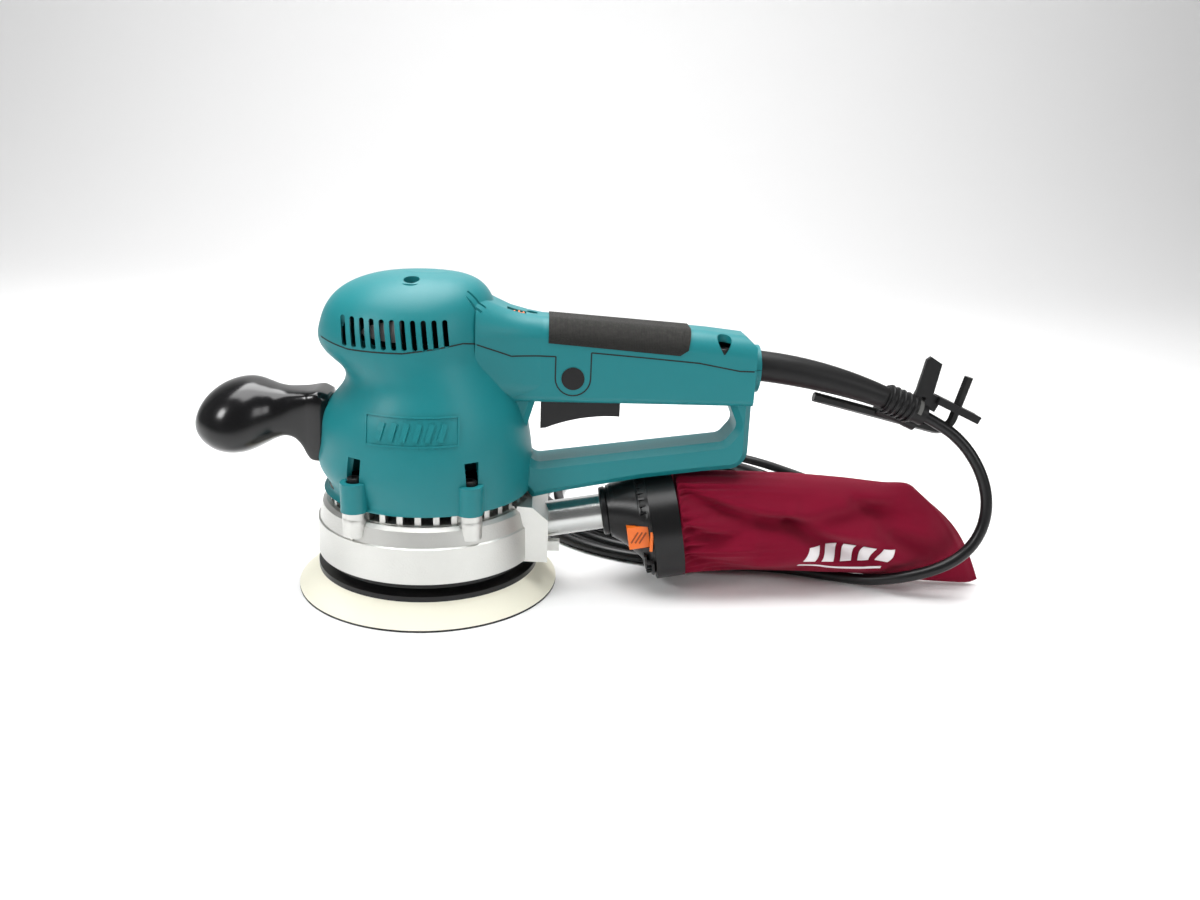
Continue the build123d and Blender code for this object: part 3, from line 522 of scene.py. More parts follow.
# ---- geometry nodes
def instance_tree(name, part):
    """A tree that sets a part on every point of a mesh, turned by its 'turn' attribute."""
    tree = bpy.data.node_groups.new(name, "GeometryNodeTree")
    face = tree.interface
    face.new_socket(name="Geometry", in_out="INPUT", socket_type="NodeSocketGeometry")
    scale = face.new_socket(name="Part Scale", in_out="INPUT", socket_type="NodeSocketFloat")
    scale.default_value = 1.0
    face.new_socket(name="Finish", in_out="INPUT", socket_type="NodeSocketMaterial")
    face.new_socket(name="Geometry", in_out="OUTPUT", socket_type="NodeSocketGeometry")
    enter = tree.nodes.new("NodeGroupInput")
    leave = tree.nodes.new("NodeGroupOutput")
    source = tree.nodes.new("GeometryNodeObjectInfo")
    source.inputs["Object"].default_value = part
    turn = tree.nodes.new("GeometryNodeInputNamedAttribute")
    turn.data_type = "FLOAT_VECTOR"
    turn.inputs["Name"].default_value = "turn"
    place = tree.nodes.new("GeometryNodeInstanceOnPoints")
    realize = tree.nodes.new("GeometryNodeRealizeInstances")
    finish = tree.nodes.new("GeometryNodeSetMaterial")
    for start, output, end, socket in (
            (enter, "Geometry", place, "Points"), (source, "Geometry", place, "Instance"),
            (turn, "Attribute", place, "Rotation"), (enter, "Part Scale", place, "Scale"),
            (place, "Instances", realize, "Geometry"), (realize, "Geometry", finish, "Geometry"),
            (enter, "Finish", finish, "Material"), (finish, "Geometry", leave, "Geometry")):
        tree.links.new(start.outputs[output], end.inputs[socket])
    return tree


def repeat_part(name, part, places, material, body, scale=1.0):
    """Sets a part at each (point, rotation matrix) through Geometry Nodes and makes it a mesh."""
    mesh = bpy.data.meshes.new(name)
    mesh.from_pydata([tuple(place) for place, _ in places], [], [])
    turns = mesh.attributes.new("turn", "FLOAT_VECTOR", "POINT")
    for k, (_, matrix) in enumerate(places):
        turns.data[k].vector = matrix.to_euler()
    obj = add_object(name, mesh)
    tree = instance_tree(name + "_tree", part)
    modifier = obj.modifiers.new("repeat", "NODES")
    modifier.node_group = tree
    ids = {item.name: item.identifier for item in tree.interface.items_tree
           if item.in_out == "INPUT"}
    modifier[ids["Part Scale"]] = scale
    modifier[ids["Finish"]] = MATERIALS[material]
    apply_modifiers(obj)
    part_mesh = part.data
    bpy.data.objects.remove(part)
    bpy.data.meshes.remove(part_mesh)
    bpy.data.node_groups.remove(tree)
    if not obj.data.materials:
        obj.data.materials.append(MATERIALS[material])
    for polygon in obj.data.polygons:
        polygon.use_smooth = False
    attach(obj, body)
    return obj


def loose_part(name, verts, faces):
    """An object of these faces, without a finish or a body yet."""
    mesh = bpy.data.meshes.new(name)
    mesh.from_pydata([tuple(v) for v in verts], [], faces)
    mesh.validate()
    obj = add_object(name, mesh)
    tidy_mesh(obj)
    return obj


def block(size):
    """Verts and faces of a block about the origin, in metres."""
    half = Vector(size) / 2
    verts = [Vector((x * half.x, y * half.y, z * half.z))
             for x in (-1, 1) for y in (-1, 1) for z in (-1, 1)]
    faces = [(0, 1, 3, 2), (4, 6, 7, 5), (0, 4, 5, 1), (2, 3, 7, 6), (0, 2, 6, 4), (1, 5, 7, 3)]
    return verts, faces


# ---- operators
class SANDER_OT_stage(Operator):
    """Floor, backdrop, lights and camera"""

    bl_idname = "sander.stage"
    bl_label = "Stage"

    def execute(self, context):
        scene = context.scene
        scene.view_settings.view_transform = "Standard"
        world = scene.world or bpy.data.worlds.new("studio")
        scene.world = world
        world.use_nodes = True
        back = world.node_tree.nodes["Background"]
        set_inputs(back, Color=(1, 1, 1, 1), Strength=0.16)
        tree = world.node_tree
        seen = tree.nodes.new("ShaderNodeLightPath")
        pale = tree.nodes.new("ShaderNodeBackground")
        pale.inputs["Color"].default_value = (0.9, 0.9, 0.9, 1)
        mix = tree.nodes.new("ShaderNodeMixShader")
        tree.links.new(seen.outputs["Is Camera Ray"], mix.inputs[0])
        tree.links.new(back.outputs[0], mix.inputs[1])
        tree.links.new(pale.outputs[0], mix.inputs[2])
        tree.links.new(mix.outputs[0], tree.nodes["World Output"].inputs["Surface"])
        reach, sweep_start, sweep_radius, wall_top = 3.2, 1.2, 0.8, 3.4
        profile = [(-reach, 0.0), (sweep_start, 0.0)]
        for degrees in range(10, 91, 10):
            angle = radians(degrees)
            profile.append((sweep_start + sweep_radius * sin(angle),
                            sweep_radius - sweep_radius * cos(angle)))
        profile.append((sweep_start + sweep_radius, wall_top))
        verts = [(side * reach, y, z) for y, z in profile for side in (-1, 1)]
        faces = [(2 * k, 2 * k + 1, 2 * k + 3, 2 * k + 2) for k in range(len(profile) - 1)]
        mesh = bpy.data.meshes.new("floor")
        mesh.from_pydata(verts, [], faces)
        floor = add_object("floor", mesh)
        for polygon in mesh.polygons:
            polygon.use_smooth = True
        paper = bpy.data.materials.new("paper")
        paper.use_nodes = True
        shader = paper.node_tree.nodes["Principled BSDF"]
        set_inputs(shader, Base_Color=(0.93, 0.93, 0.93, 1), Roughness=0.6)
        mesh.materials.append(paper)
        self.softbox("top", (0.0, 0.05, 1.0), 0.9, 15.5)
        self.softbox("left", (-0.9, -0.7, 0.8), 0.35, 6.5)
        self.softbox("right", (1.0, -0.8, 0.6), 0.4, 3.0)
        self.softbox("wall", (0.1, 0.9, 2.2), 1.6, 30.0, look_at=(0.1, 2.0, 0.4))
        self.camera(scene)
        return {"FINISHED"}

    def softbox(self, name, place, size, power, look_at=(0.08, 0, 0.08)):
        """A square lamp that looks at the tool or at a given point."""
        lamp = bpy.data.lights.new(name, "AREA")
        lamp.size = size
        lamp.energy = power
        obj = bpy.data.objects.new(name, lamp)
        obj.location = place
        look = Vector(look_at) - Vector(place)
        obj.rotation_euler = look.to_track_quat("-Z", "Y").to_euler()
        bpy.context.scene.collection.objects.link(obj)

    def camera(self, scene):
        """Camera in front of the tool, looking down a little, slightly rolled."""
        pitch, yaw, roll = 0.3036, 0.0652, 0.0442
        place = (0.06184, -0.56, 0.25724)
        right = Vector((cos(yaw), -sin(yaw), 0))
        ahead = Vector((sin(yaw) * cos(pitch), cos(yaw) * cos(pitch), -sin(pitch)))
        up = Vector((sin(yaw) * sin(pitch), cos(yaw) * sin(pitch), cos(pitch)))
        tilted_right = right * cos(roll) + up * sin(roll)
        tilted_up = up * cos(roll) - right * sin(roll)
        data = bpy.data.cameras.new("camera")
        data.lens = 30.45
        data.sensor_width = 36
        data.clip_start = 0.01
        data.clip_end = 20
        obj = bpy.data.objects.new("camera", data)
        turn = Matrix((tilted_right, tilted_up, -ahead)).transposed().to_4x4()
        obj.matrix_world = Matrix.Translation(place) @ turn
        scene.collection.objects.link(obj)
        scene.camera = obj


class SANDER_OT_finishes(Operator):
    """Materials for every CAD piece"""

    bl_idname = "sander.finishes"
    bl_label = "Finishes"

    def execute(self, context):
        for name, maker in (("moulded_grain", grain_group), ("handling_smears", handling_group),
                            ("settled_dust", dust_group), ("colour_drift", mottle_group)):
            GROUPS[name] = maker()
        build_materials()
        slots = {part["node"]: part["material_slot"] for part in frame["record"]["subparts"]}
        for name, obj in NODES.items():
            mesh = obj.data
            mesh.materials.clear()
            mesh.materials.append(MATERIALS[slots[name]])
        return {"FINISHED"}


CORD_ROUTE = [
    (281.9, 0.0, 109.4), (298.0, -3.0, 102.1), (309.0, -6.5, 93.6), (317.3, -9.8, 83.2),
    (323.2, -13.0, 71.0), (325.8, -15.8, 57.8), (324.1, -18.2, 44.6), (318.0, -20.0, 32.8),
    (308.0, -20.8, 23.8), (294.0, -20.0, 16.8), (278.2, -15.8, 10.8), (262.0, -8.0, 5.6),
    (245.0, 2.0, 3.7), (226.0, 10.5, 3.45), (204.0, 15.6, 3.6), (182.0, 16.4, 3.45),
]
COIL_CENTRE = Vector((160.0, 132.0))
COIL_START = radians(-79)
PLUG_REACH = 79


class SANDER_OT_cord(Operator):
    """Mains cord: loop from the guard, under the bag, loose coil behind, into the plug"""

    bl_idname = "sander.cord"
    bl_label = "Mains cord"

    def coil_points(self):
        """Turns of the coil, clockwise from above, then the last bend into the plug."""
        turns = settings().sizes.coil_turns
        per_turn = 14
        count = int(turns * per_turn)
        low, high = 3.5, 10.6
        points = []
        for k in range(1, count + 1):
            t = k / count
            angle = COIL_START - 2 * pi * turns * t
            # the coil draws in on the floor, climbs on its own turns and widens again
            if t < 0.6:
                radius, height = 113.5 - 29 * (t / 0.6), low
            elif t < 0.8:
                radius = 85 + 5 * (t - 0.6) / 0.2
                height = low + (high - low) * min(1, (t - 0.6) / 0.06)
            else:
                radius, height = 90 + 23 * (t - 0.8) / 0.2, high
            radius += 2.2 * sin(2.3 * angle + 4 * t)
            points.append((COIL_CENTRE.x + radius * cos(angle),
                           COIL_CENTRE.y + radius * sin(angle), height))
        bend = 28.0
        corner = Vector((COIL_CENTRE.x + PLUG_REACH + 4 + bend, COIL_CENTRE.y + bend))
        for degrees in (0, 30, 60, 90):
            a = radians(degrees)
            points.append((corner.x - bend + bend * cos(a), corner.y - bend * sin(a),
                           high - degrees / 60))
        points.append((COIL_CENTRE.x + PLUG_REACH, COIL_CENTRE.y, 9.0))
        return points

    def execute(self, context):
        sizes = settings().sizes
        points = CORD_ROUTE + self.coil_points()
        curve = bpy.data.curves.new("mains_cord", "CURVE")
        curve.dimensions = "3D"
        curve.bevel_depth = sizes.cord_diameter / 2
        curve.bevel_resolution = 5
        curve.use_fill_caps = True
        spline = curve.splines.new("NURBS")
        spline.points.add(len(points) - 1)
        for k, point in enumerate(points):
            spline.points[k].co = (*(part * MM for part in point), 1)
        spline.order_u = 3
        spline.use_endpoint_u = True
        spline.resolution_u = 8
        cord = add_object("mains_cord", curve)
        curve.materials.append(MATERIALS["cord_pvc"])
        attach(cord, "housing")
        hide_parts("cord_tube", "cord_coil")
        return {"FINISHED"}


# the pouch from ring to end seam: share of the way, then x and z of the edge, or the half width
BAG_TOP = [(0.0, 142.6, 67.6), (0.03, 146.5, 67.8), (0.1, 158, 68.6), (0.3, 193, 69.0),
           (0.6, 240, 66.8), (0.82, 268, 65.0), (0.92, 281, 65.4), (0.97, 286.5, 63.2),
           (1.0, 288.4, 60.0)]
BAG_BOTTOM = [(0.0, 148.6, 6.6), (0.03, 151.6, 7.6), (0.1, 162, 8.8), (0.3, 196, 9.6),
              (0.6, 245, 9.0), (0.8, 290, 4.4), (0.92, 320, 1.8), (0.97, 330, 1.6),
              (1.0, 335.2, 3.4)]
BAG_WIDTH = [(0.0, 29.8), (0.03, 28.2), (0.1, 28.6), (0.3, 27.4), (0.55, 24.0), (0.75, 17.5),
             (0.9, 10.0), (0.96, 5.6), (0.985, 2.6), (1.0, 1.3)]

# folds of the cloth: start and end as (x, z), depth, width, and which cheek
BAG_FOLDS = [
    ((147, 61), (206, 46), 9.5, 5.0, -1), ((192, 47), (270, 53), 7.5, 5.5, -1),
    ((208, 46), (262, 26), 10.0, 5.4, -1), ((158, 66), (232, 58), 4.0, 4.5, -1),
    ((246, 60), (286, 47), 5.0, 5.0, -1), ((266, 42), (314, 19), 6.0, 6.0, -1),
    ((147, 27), (184, 21), 6.5, 4.4, -1), ((164, 15), (226, 16), 5.0, 4.6, -1),
    ((262, 21), (322, 11), 5.0, 5.5, -1), ((149, 44), (180, 39), 6.0, 3.8, -1),
    ((236, 14), (296, 9), 4.0, 4.6, -1),
    ((150, 55), (214, 42), 8.0, 5.6, 1), ((190, 52), (270, 42), 7.0, 6.4, 1),
    ((152, 24), (220, 28), 6.5, 5.4, 1), ((236, 32), (312, 16), 6.0, 6.4, 1),
    ((214, 60), (278, 58), 4.0, 5.2, 1),
]


def along_table(table, t):
    """Value between the rows of a table at share t, eased so that the edge has no corners."""
    last = len(table) - 1
    for k in range(last):
        if t <= table[k + 1][0]:
            u = (t - table[k][0]) / (table[k + 1][0] - table[k][0])
            before, start, end, after = (table[max(0, min(last, k + j))] for j in (-1, 0, 1, 2))
            values = []
            for place in range(1, len(start)):
                rise_in = (end[place] - before[place]) / max(1e-6, end[0] - before[0])
                rise_out = (after[place] - start[place]) / max(1e-6, after[0] - start[0])
                span = end[0] - start[0]
                h0, h1 = 2 * u ** 3 - 3 * u * u + 1, u ** 3 - 2 * u * u + u
                h2, h3 = -2 * u ** 3 + 3 * u * u, u ** 3 - u * u
                values.append(h0 * start[place] + h1 * span * rise_in
                              + h2 * end[place] + h3 * span * rise_out)
            return values
    return list(table[-1][1:])


def fold_depth(x, z, side):
    """How far the cloth is drawn in at a point by its folds, in millimetres."""
    depth = 0.0
    for (x0, z0), (x1, z1), strength, width, cheek in BAG_FOLDS:
        if cheek != side:
            continue
        run = Vector((x1 - x0, z1 - z0))
        away = Vector((x - x0, z - z0))
        share = away.dot(run) / run.length_squared
        bow = 2.5 * sin(pi * max(0.0, min(1.0, share)))
        across = (away.y * run.x - away.x * run.y) / run.length + bow
        beyond = max(0.0, -share, share - 1) * run.length
        distance = sqrt(across * across + beyond * beyond)
        fade = 0.45 + 0.55 * sin(pi * max(0.0, min(1.0, share)))
        spread = width * (0.75 + 0.7 * max(0.0, min(1.0, share)))
        valley = exp(-((distance / spread) ** 2))
        shelf = (exp(-(((across - 1.7 * spread) / (1.2 * spread)) ** 2))
                 * exp(-((beyond / width) ** 2)))
        depth += strength * fade * (valley - 0.5 * shelf)
    return depth


def bag_point(t, angle):
    """A point of the pouch: t from ring to end seam, angle round it, in metres."""
    top_x, top_z = along_table(BAG_TOP, t)
    low_x, low_z = along_table(BAG_BOTTOM, t)
    half_width = along_table(BAG_WIDTH, t)[0]
    rise = (1 + sin(angle)) / 2
    bulge = 7.0 * t ** 5 * sin(pi * rise)
    x = low_x + (top_x - low_x) * rise + 0.78 * bulge
    z = low_z + (top_z - low_z) * rise + 0.62 * bulge
    flat = abs(cos(angle)) ** (1 - 0.3 * t)
    side = -1 if cos(angle) < 0 else 1
    free = min(1.0, t * 22)
    depth = fold_depth(x, z, side) * free * min(1.0, (1 - t) * 8)
    depth = max(-0.3 * half_width, min(0.5 * half_width, depth)) * min(1.0, flat * 1.6)
    gathers = settings().sizes.gather_count
    wander = gathers * angle + 2.2 * sin(2 * angle) + 1.3 * sin(5 * angle + 1)
    strength = 0.55 + 0.45 * sin(3 * angle + 0.6) * sin(7 * angle)
    pleat = (3.2 * strength * exp(-t / (0.07 + 0.05 * strength)) * sin(wander)
             * min(1.0, t / 0.012))
    ripple = (1.1 * sin(0.1 * x + 5 * rise) * sin(7 * rise + 0.035 * x) * free
              * min(1.0, (1 - t) * 6))
    hem = 0.9 * exp(-(((t - 0.965) / 0.012) ** 2)) * flat
    y = side * (flat * half_width - depth + (ripple + hem) * flat)
    sway = 3.0 * sin(2.6 * rise + 0.5) * max(0.0, t - 0.75) * 4
    point = Vector((x, y + sway, z)) + Vector((0, cos(angle), 0.9 * sin(angle))) * pleat
    point.z = max(point.z, 0.9)
    return point * MM


class SANDER_OT_bag(Operator):
    """Cloth dust bag with gathers, creases, end seam and printed mark"""

    bl_idname = "sander.bag"
    bl_label = "Dust bag"

    def execute(self, context):
        rows, count = 190, 200
        rings = []
        for row in range(rows + 1):
            t = row / rows
            rings.append([bag_point(t, 2 * pi * k / count) for k in range(count)])
        verts, faces = rings_mesh(rings)
        bag = piece_from("dust_bag_cloth", verts, faces, "bag_cloth", "dust_bag")
        layer = bag.data.uv_layers.new(name="cut")
        for loop in bag.data.loops:
            spot = bag.data.vertices[loop.vertex_index].co / MM
            layer.data[loop.index].uv = (spot.x, spot.z + spot.y)
        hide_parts("dust_bag")
        self.printed_mark()
        return {"FINISHED"}

    def printed_mark(self):
        """Plain slanted bars and a rule, printed on the near cheek."""
        bag = bpy.data.objects["dust_bag_cloth"]
        graph = bpy.context.evaluated_depsgraph_get()
        tree = BVHTree.FromObject(bag, graph)
        verts, faces = [], []
        # each shape: left, low, width, height and slant, in millimetres
        shapes = [(218 + 11.5 * k, 24, 7.2, 9.0, 3.0) for k in range(5)]
        shapes.append((216, 19, 52.0, 1.4, 0.4))
        for left, low, width, height, slant in shapes:
            across, up = max(4, int(2 * width)), max(3, int(2 * height))
            start = len(verts)
            for i in range(across + 1):
                for j in range(up + 1):
                    x = left + width * i / across + slant * j / up
                    z = low + height * j / up - 0.06 * (x - 218)
                    place = tree.ray_cast(Vector((x * MM, -0.2, z * MM)), Vector((0, 1, 0)))[0]
                    if place is None:
                        raise RuntimeError("the printed mark misses the bag")
                    verts.append(place + Vector((0, -0.0004, 0)))
            for i in range(across):
                for j in range(up):
                    a = start + i * (up + 1) + j
                    faces.append((a, a + up + 1, a + up + 2, a + 1))
        mark = piece_from("bag_printed_mark", verts, faces, "print_ink", "dust_bag")
        thick = mark.modifiers.new("ink", "SOLIDIFY")
        thick.thickness = 0.0003
        thick.offset = -1
        apply_modifiers(mark)


# sections of the palm grip: x, lowest, seam and highest z, half width, squareness
GRIP_SECTIONS = [
    (-128.0, 92.5, 94.2, 96.0, 3.5, 2.0), (-127.2, 89.0, 93.6, 99.0, 9.0, 2.0),
    (-124.5, 84.6, 92.8, 104.6, 15.5, 2.0), (-120.0, 80.8, 91.8, 110.0, 21.0, 2.05),
    (-114.0, 78.2, 90.9, 114.6, 25.4, 2.1), (-107.0, 77.2, 90.3, 117.8, 27.6, 2.1),
    (-100.0, 78.0, 90.4, 119.3, 27.0, 2.15), (-94.0, 80.2, 91.2, 118.9, 24.4, 2.2),
    (-88.0, 83.4, 92.6, 117.0, 20.4, 2.3), (-83.0, 86.0, 94.0, 115.2, 17.0, 2.5),
    (-78.0, 87.6, 95.0, 114.1, 14.8, 3.0), (-73.0, 86.6, 95.2, 113.8, 13.9, 4.0),
    (-69.0, 82.5, 94.0, 113.8, 13.8, 5.0), (-66.0, 76.8, 92.0, 113.9, 14.0, 6.0),
    (-63.5, 74.6, 90.0, 114.2, 14.6, 7.0), (-59.0, 74.2, 90.0, 114.6, 15.0, 7.0),
    (-54.0, 76.0, 90.0, 112.6, 13.0, 7.0),
]


class SANDER_OT_grip(Operator):
    """Palm grip: glossy knob drawn smoothly into a squared neck and foot"""

    bl_idname = "sander.grip"
    bl_label = "Palm grip"

    def execute(self, context):
        count = 72
        rings = []
        for x, low, seam, high, half_width, power in smooth_rows(GRIP_SECTIONS, 5):
            ring = []
            for k in range(count):
                angle = 2 * pi * k / count
                c, s = cos(angle), sin(angle)
                reach = (high - seam) if s >= 0 else (seam - low)
                y = half_width * abs(c) ** (2 / power) * (1 if c >= 0 else -1)
                z = seam + reach * abs(s) ** (2 / power) * (1 if s >= 0 else -1)
                ring.append(Vector((x, y, z)) * MM)
            rings.append(ring)
        verts, faces = rings_mesh(rings)
        grip = piece_from("palm_grip", verts, faces, "black_gloss", "housing")
        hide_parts("grip_upper", "grip_lower", "grip_neck")
        return {"FINISHED"}


class SANDER_OT_nozzle(Operator):
    """Collar, flange ribs and button ribs of the dust nozzle"""

    bl_idname = "sander.nozzle"
    bl_label = "Dust nozzle trim"

    def execute(self, context):
        self.collar()
        self.flange()
        self.button_ribs()
        return {"FINISHED"}

    def lathe(self, name, profile, material):
        """A closed ring about the spout axis from (along, drop, radius) rows."""
        right = Vector((0, 1, 0))
        rings = [ring_at(spout_point(along, drop), right, SPOUT_UP, radius * MM, 96)
                 for along, drop, radius in profile]
        verts, faces = rings_mesh(rings + [rings[0]], closed_ends=False)
        return piece_from(name, verts, faces, material, "dust_bag", smooth=False)

    def collar(self):
        """Thick rolled lip where the nozzle takes the spout."""
        collar = self.lathe("nozzle_collar", [
            (31.6, 0, 11.0), (31.6, 0, 13.4), (32.4, 0, 14.2), (35.0, 0, 14.4), (35.4, 0.1, 13.6),
            (37.0, 0.3, 13.8), (37.4, 0.4, 15.6), (40.0, 1.0, 16.8), (40.2, 1.0, 12.0),
        ], "black_plastic")
        bevel(collar, 0.0003)

    def flange(self):
        """Two thin rims and the row of ribs between them, ahead of the bag ring."""
        for start, drop, radius in ((52.6, 9.6, 26.4), (56.2, 12.6, 28.6)):
            for label, first in (("upper", 28), ("lower", 208)):
                rows = []
                for k in range(49):
                    angle = radians(first + 124 * k / 48)
                    out = Vector((0, cos(angle), 0)) + SPOUT_UP * sin(angle)
                    rows.append([spout_point(along, drop) + out * (reach * MM)
                                 for along, reach in ((start, radius - 2.4), (start, radius + 1.2),
                                                      (start + 1.5, radius + 1.8),
                                                      (start + 1.5, radius - 2.4))])
                verts, faces = rings_mesh(rows)
                rim = piece_from("nozzle_rim_%s_%d" % (label, round(start)), verts, faces,
                                 "black_plastic", "dust_bag", smooth=False)
                bevel(rim, 0.00025)
        part = loose_part("rib", *block((3.4 * MM, 1.3 * MM, 2.4 * MM)))
        places = []
        right = Vector((0, 1, 0))
        for k in range(44):
            angle = 2 * pi * k / 44
            if abs(sin(angle)) < 0.42:
                continue
            out = right * cos(angle) + SPOUT_UP * sin(angle)
            centre = spout_point(55.2, 11.2) + out * (28.6 * MM)
            matrix = Matrix((SPOUT_AXIS, SPOUT_AXIS.cross(out) * -1, out)).transposed()
            places.append((centre, matrix))
        repeat_part("nozzle_flange_ribs", part, places, "black_plastic", "dust_bag")

    def button_ribs(self):
        """Slanted ribs on the two orange release buttons, coloured dark orange as painted shade of grooves."""
        count = settings().sizes.grip_rib_count
        for side, label in ((-1, "near"), (1, "far")):
            low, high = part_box("release_button_" + label)
            middle = (Vector(low) + Vector(high)) / 2
            face = low[1] if side < 0 else high[1]
            part = loose_part("rib", *block((0.8 * MM, 0.5 * MM, 7.6 * MM)))
            places = []
            for k in range(count):
                shift = (k - (count - 1) / 2) * 2.3 * MM
                place = Vector((middle.x + shift, face, middle.z))
                places.append((place, Matrix.Rotation(radians(28), 3, "Y")))
            # the ribs are finished dark orange as painted shade of grooves
            repeat_part("release_ribs_" + label, part, places, "button_groove_painted_shade",
                        "release_" + label)
        verts, faces = block((1.8 * MM, 1.6 * MM, 11.5 * MM))
        centre = spout_point(57.6, 11.6, -29.6)
        sliver = piece_from("nozzle_latch_strip", [v + centre for v in verts], faces,
                            "orange_plastic", "dust_bag", smooth=False)
        bevel(sliver, 0.0003)


class SANDER_OT_housing_trim(Operator):
    """Raised panel with a plain mark, seam shadow and screw heads of the housing"""

    bl_idname = "sander.housing_trim"
    bl_label = "Housing trim"

    def execute(self, context):
        tree = skin_tree("motor_housing")
        for side, name in ((-1, "near"), (1, "far")):
            left, right, low, high = -27, 21, 97.5, 112.5
            outline = [(left, low), (right, low + 0.8), (right, high + 0.4), (left, high),
                       (left, low)]
            verts, faces = raised_strip(tree, outline, 1.0, 0.6, side)
            for k in range(6):
                x = left + 6.6 + k * 6.4
                add_mesh(verts, faces, *raised_strip(
                    tree, [(x, low + 3), (x + 2.6, high - 3)], 2.8, 0.9, side))
            piece_from("housing_panel_" + name, verts, faces, "teal_plastic", "housing",
                       smooth=False)
        self.seam_lines()
        self.screw_heads()
        return {"FINISHED"}

    def seam_lines(self):
        """Dark line of the gap between housing and cover, round the lock button's tongue."""
        path = [(-54, 147.2), (-52, 147), (-37, 144.6), (-8, 144.6), (22, 148.6), (28, 147.6),
                (47, 139.6), (71, 139.3)]
        tongue_x, tongue_z, tongue_radius = 80.7, 127.3, 9.7
        for degrees in range(180, 361, 15):
            angle = radians(degrees)
            path.append((tongue_x + tongue_radius * cos(angle),
                         tongue_z + tongue_radius * sin(angle)))
        path = [(x, z + 0.12) for x, z in path]
        path += [(90.4, 142.1), (117, 140.4), (150, 138.1), (173, 134.2), (181, 134.2)]
        tree = skin_tree("motor_housing", "top_cover")
        for side, name in ((-1, "near"), (1, "far")):
            verts, faces = raised_strip(tree, path, 0.8, 0.07, side, spacing=3 * SKIN_STEP)
            piece_from("seam_line_" + name, verts, faces, "seam_shadow", "housing",
                       smooth=False)

    def screw_heads(self):
        """Six-lobed black screw heads, one tree for all seven."""
        count = 48
        rings = turned_rings(((3.5, -1.0), (3.5, 0.5), (3.1, 0.9), (2.0, 1.0)), count)
        for shrink, height in ((1.0, 1.0), (0.92, -0.8)):
            ring = []
            for k in range(count):
                angle = 2 * pi * k / count
                radius = shrink * (1.55 + 0.3 * cos(6 * angle))
                ring.append(Vector((radius * cos(angle), radius * sin(angle), height)) * MM)
            rings.append(ring)
        part = loose_part("screw_head", *rings_mesh(rings))
        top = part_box("housing_screws")[1][2]
        places = [(Vector((x * MM, y * MM, top)), Matrix.Identity(3)) for x, y in HOUSING_SCREWS]
        places += [(Vector(place) * MM, Matrix.Identity(3)) for place in COVER_SCREWS]
        repeat_part("screw_heads", part, places, "black_steel", "housing")


class SANDER_OT_dial(Operator):
    """Ribbed rim of the speed dial, seen in its window on the handle"""

    bl_idname = "sander.dial"
    bl_label = "Speed dial"

    def execute(self, context):
        low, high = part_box("speed_dial")
        middle = (Vector(low) + Vector(high)) / 2
        # larger than the CAD dial, to show in the window; it cuts the hidden parts of the
        # cover and of the speed controller
        radius = (high[0] - low[0]) / 2 + 1.5 * MM
        # the far side stops short of the CAD screw; the ribs still cut its drawn head
        profile = ((-2.8, radius - MM), (-2.2, radius), (1.3, radius), (1.9, radius - MM))
        count = 64
        rings = [[middle + Vector((reach * cos(2 * pi * k / count), y * MM,
                                   reach * sin(2 * pi * k / count))) for k in range(count)]
                 for y, reach in profile]
        verts, faces = rings_mesh(rings)
        piece_from("speed_dial_wheel", verts, faces, "orange_plastic", "speed_dial",
                   smooth=False)
        middle.y -= 0.45 * MM
        part = loose_part("dial_rib", *block((0.9 * MM, 4.4 * MM, 1.5 * MM)))
        places = []
        rib_count = 26
        for k in range(rib_count):
            angle = 2 * pi * k / rib_count
            out = Vector((cos(angle), 0, sin(angle)))
            along = Vector((-sin(angle), 0, cos(angle)))
            matrix = Matrix((along, Vector((0, 1, 0)), out)).transposed()
            places.append((middle + out * radius, matrix))
        repeat_part("speed_dial_ribs", part, places, "orange_plastic", "speed_dial")
        return {"FINISHED"}


class SANDER_OT_holder_trim(Operator):
    """Ribs of the wrench holder's sleeve"""

    bl_idname = "sander.holder_trim"
    bl_label = "Wrench holder trim"

    def execute(self, context):
        # the sleeve leaves the handle at this slope and bends down at this radius
        first, bend = radians(2.1), 300.0
        rib_count, rib_start, rib_pitch = 5, 95.0, 3.6
        places = []
        for k in range(rib_count):
            length = rib_start + rib_pitch * k
            slope = first + length / bend
            centre = Vector((171.0 + bend * (sin(slope) - sin(first)), 0,
                             135.1 - bend * (cos(first) - cos(slope)))) * MM
            ahead = Vector((cos(slope), 0, -sin(slope)))
            up = Vector((sin(slope), 0, cos(slope)))
            places.append((centre, Matrix((ahead, Vector((0, 1, 0)), up)).transposed()))
        profile = [(-0.8, 7.2), (-0.8, 8.5), (0, 8.8), (0.8, 8.5), (0.8, 7.2)]
        rows = [ring_at(Vector((along * MM, 0, 0)), Vector((0, 1, 0)), Vector((0, 0, 1)),
                        radius * MM, 56) for along, radius in profile]
        verts, faces = rings_mesh(rows + [rows[0]], closed_ends=False)
        part = loose_part("sleeve_rib", verts, faces)
        repeat_part("holder_sleeve_ribs", part, places, "skirt_rubber", "housing")
        return {"FINISHED"}


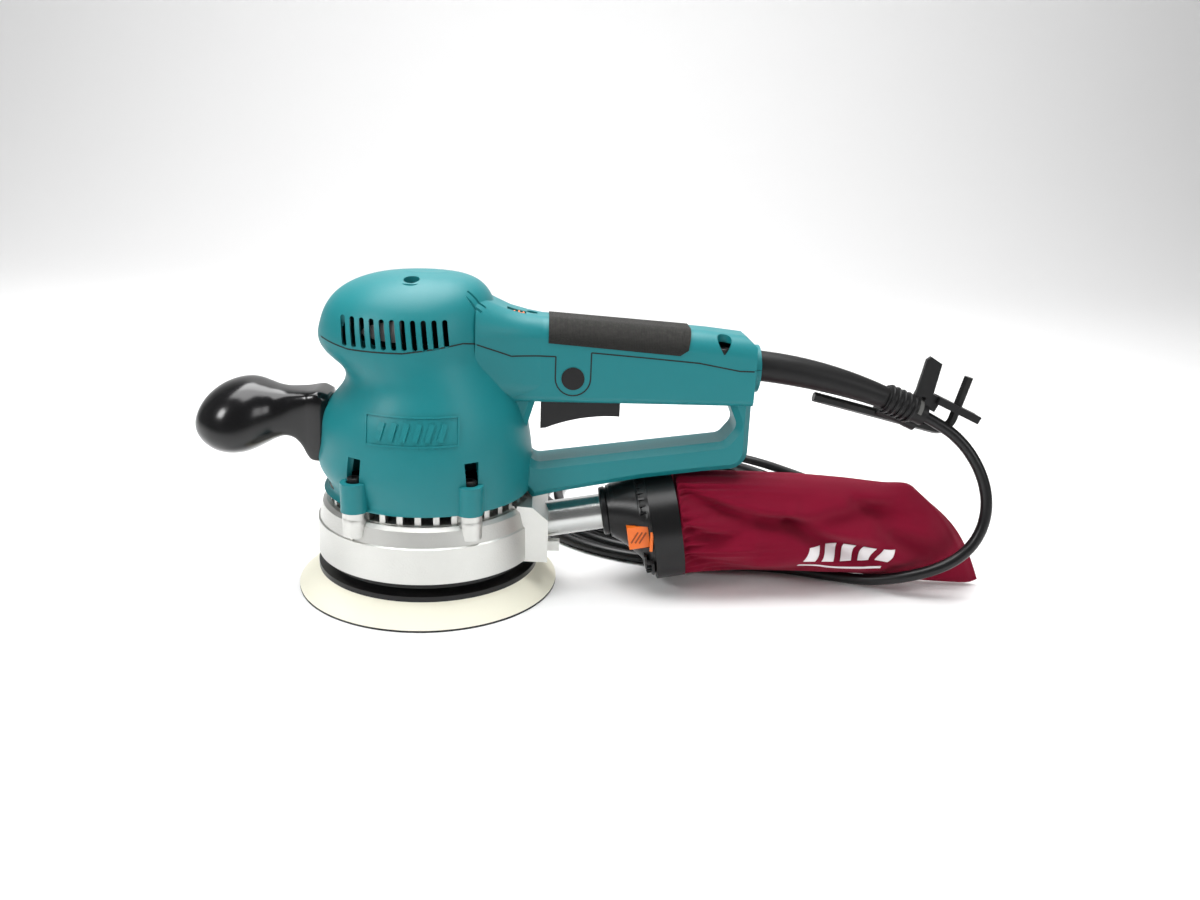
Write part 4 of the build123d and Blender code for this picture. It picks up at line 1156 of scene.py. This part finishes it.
class SANDER_OT_base_trim(Operator):
    """Pointed feet of the casting's screw posts"""

    bl_idname = "sander.base_trim"
    bl_label = "Base casting trim"

    def execute(self, context):
        profile = ((6.6, 6.0), (6.6, 0.0), (4.6, -4.0), (2.0, -8.0), (0.4, -10.5))
        rings = turned_rings(profile, 40)
        part = loose_part("post_foot", *rings_mesh(rings))
        places = []
        up, foot_height, lean_share = Vector((0, 0, 1)), 53, 0.22
        for x, y in HOUSING_SCREWS:
            out = Vector((x, y, 0)).normalized()
            lean = up.rotation_difference((up - out * lean_share).normalized())
            places.append((Vector((x, y, foot_height)) * MM + out * (0.6 * MM), lean.to_matrix()))
        feet = repeat_part("casting_post_feet", part, places, "cast_aluminium", "housing")
        for polygon in feet.data.polygons:
            polygon.use_smooth = True
        return {"FINISHED"}


PIECE_OPERATORS = [
    SANDER_OT_stage, SANDER_OT_finishes, SANDER_OT_cord, SANDER_OT_bag, SANDER_OT_grip,
    SANDER_OT_nozzle, SANDER_OT_housing_trim, SANDER_OT_dial, SANDER_OT_holder_trim,
    SANDER_OT_base_trim,
]


class SANDER_PT_panel(Panel):
    """Builds the sander's pieces and shows their settings"""

    bl_idname = "SANDER_PT_panel"
    bl_label = "Orbital Sander"
    bl_space_type = "VIEW_3D"
    bl_region_type = "UI"
    bl_category = "Sander"

    def draw(self, context):
        for operator in PIECE_OPERATORS:
            self.layout.operator(operator.bl_idname)
        for group in (settings().colours, settings().sizes):
            for name in group.bl_rna.properties.keys():
                if name not in ("rna_type", "name"):
                    self.layout.prop(group, name)


CLASSES = [SanderColours, SanderSizes, SanderSettings, *PIECE_OPERATORS, SANDER_PT_panel]


def register():
    for item in CLASSES:
        bpy.utils.register_class(item)
    bpy.types.Scene.sander = PointerProperty(type=SanderSettings)


def unregister():
    del bpy.types.Scene.sander
    for item in reversed(CLASSES):
        bpy.utils.unregister_class(item)


def main():
    """Builds everything in order."""
    register()
    for operator in PIECE_OPERATORS:
        group, name = operator.bl_idname.split(".")
        getattr(getattr(bpy.ops, group), name)()


if __name__ == "__main__":
    main()
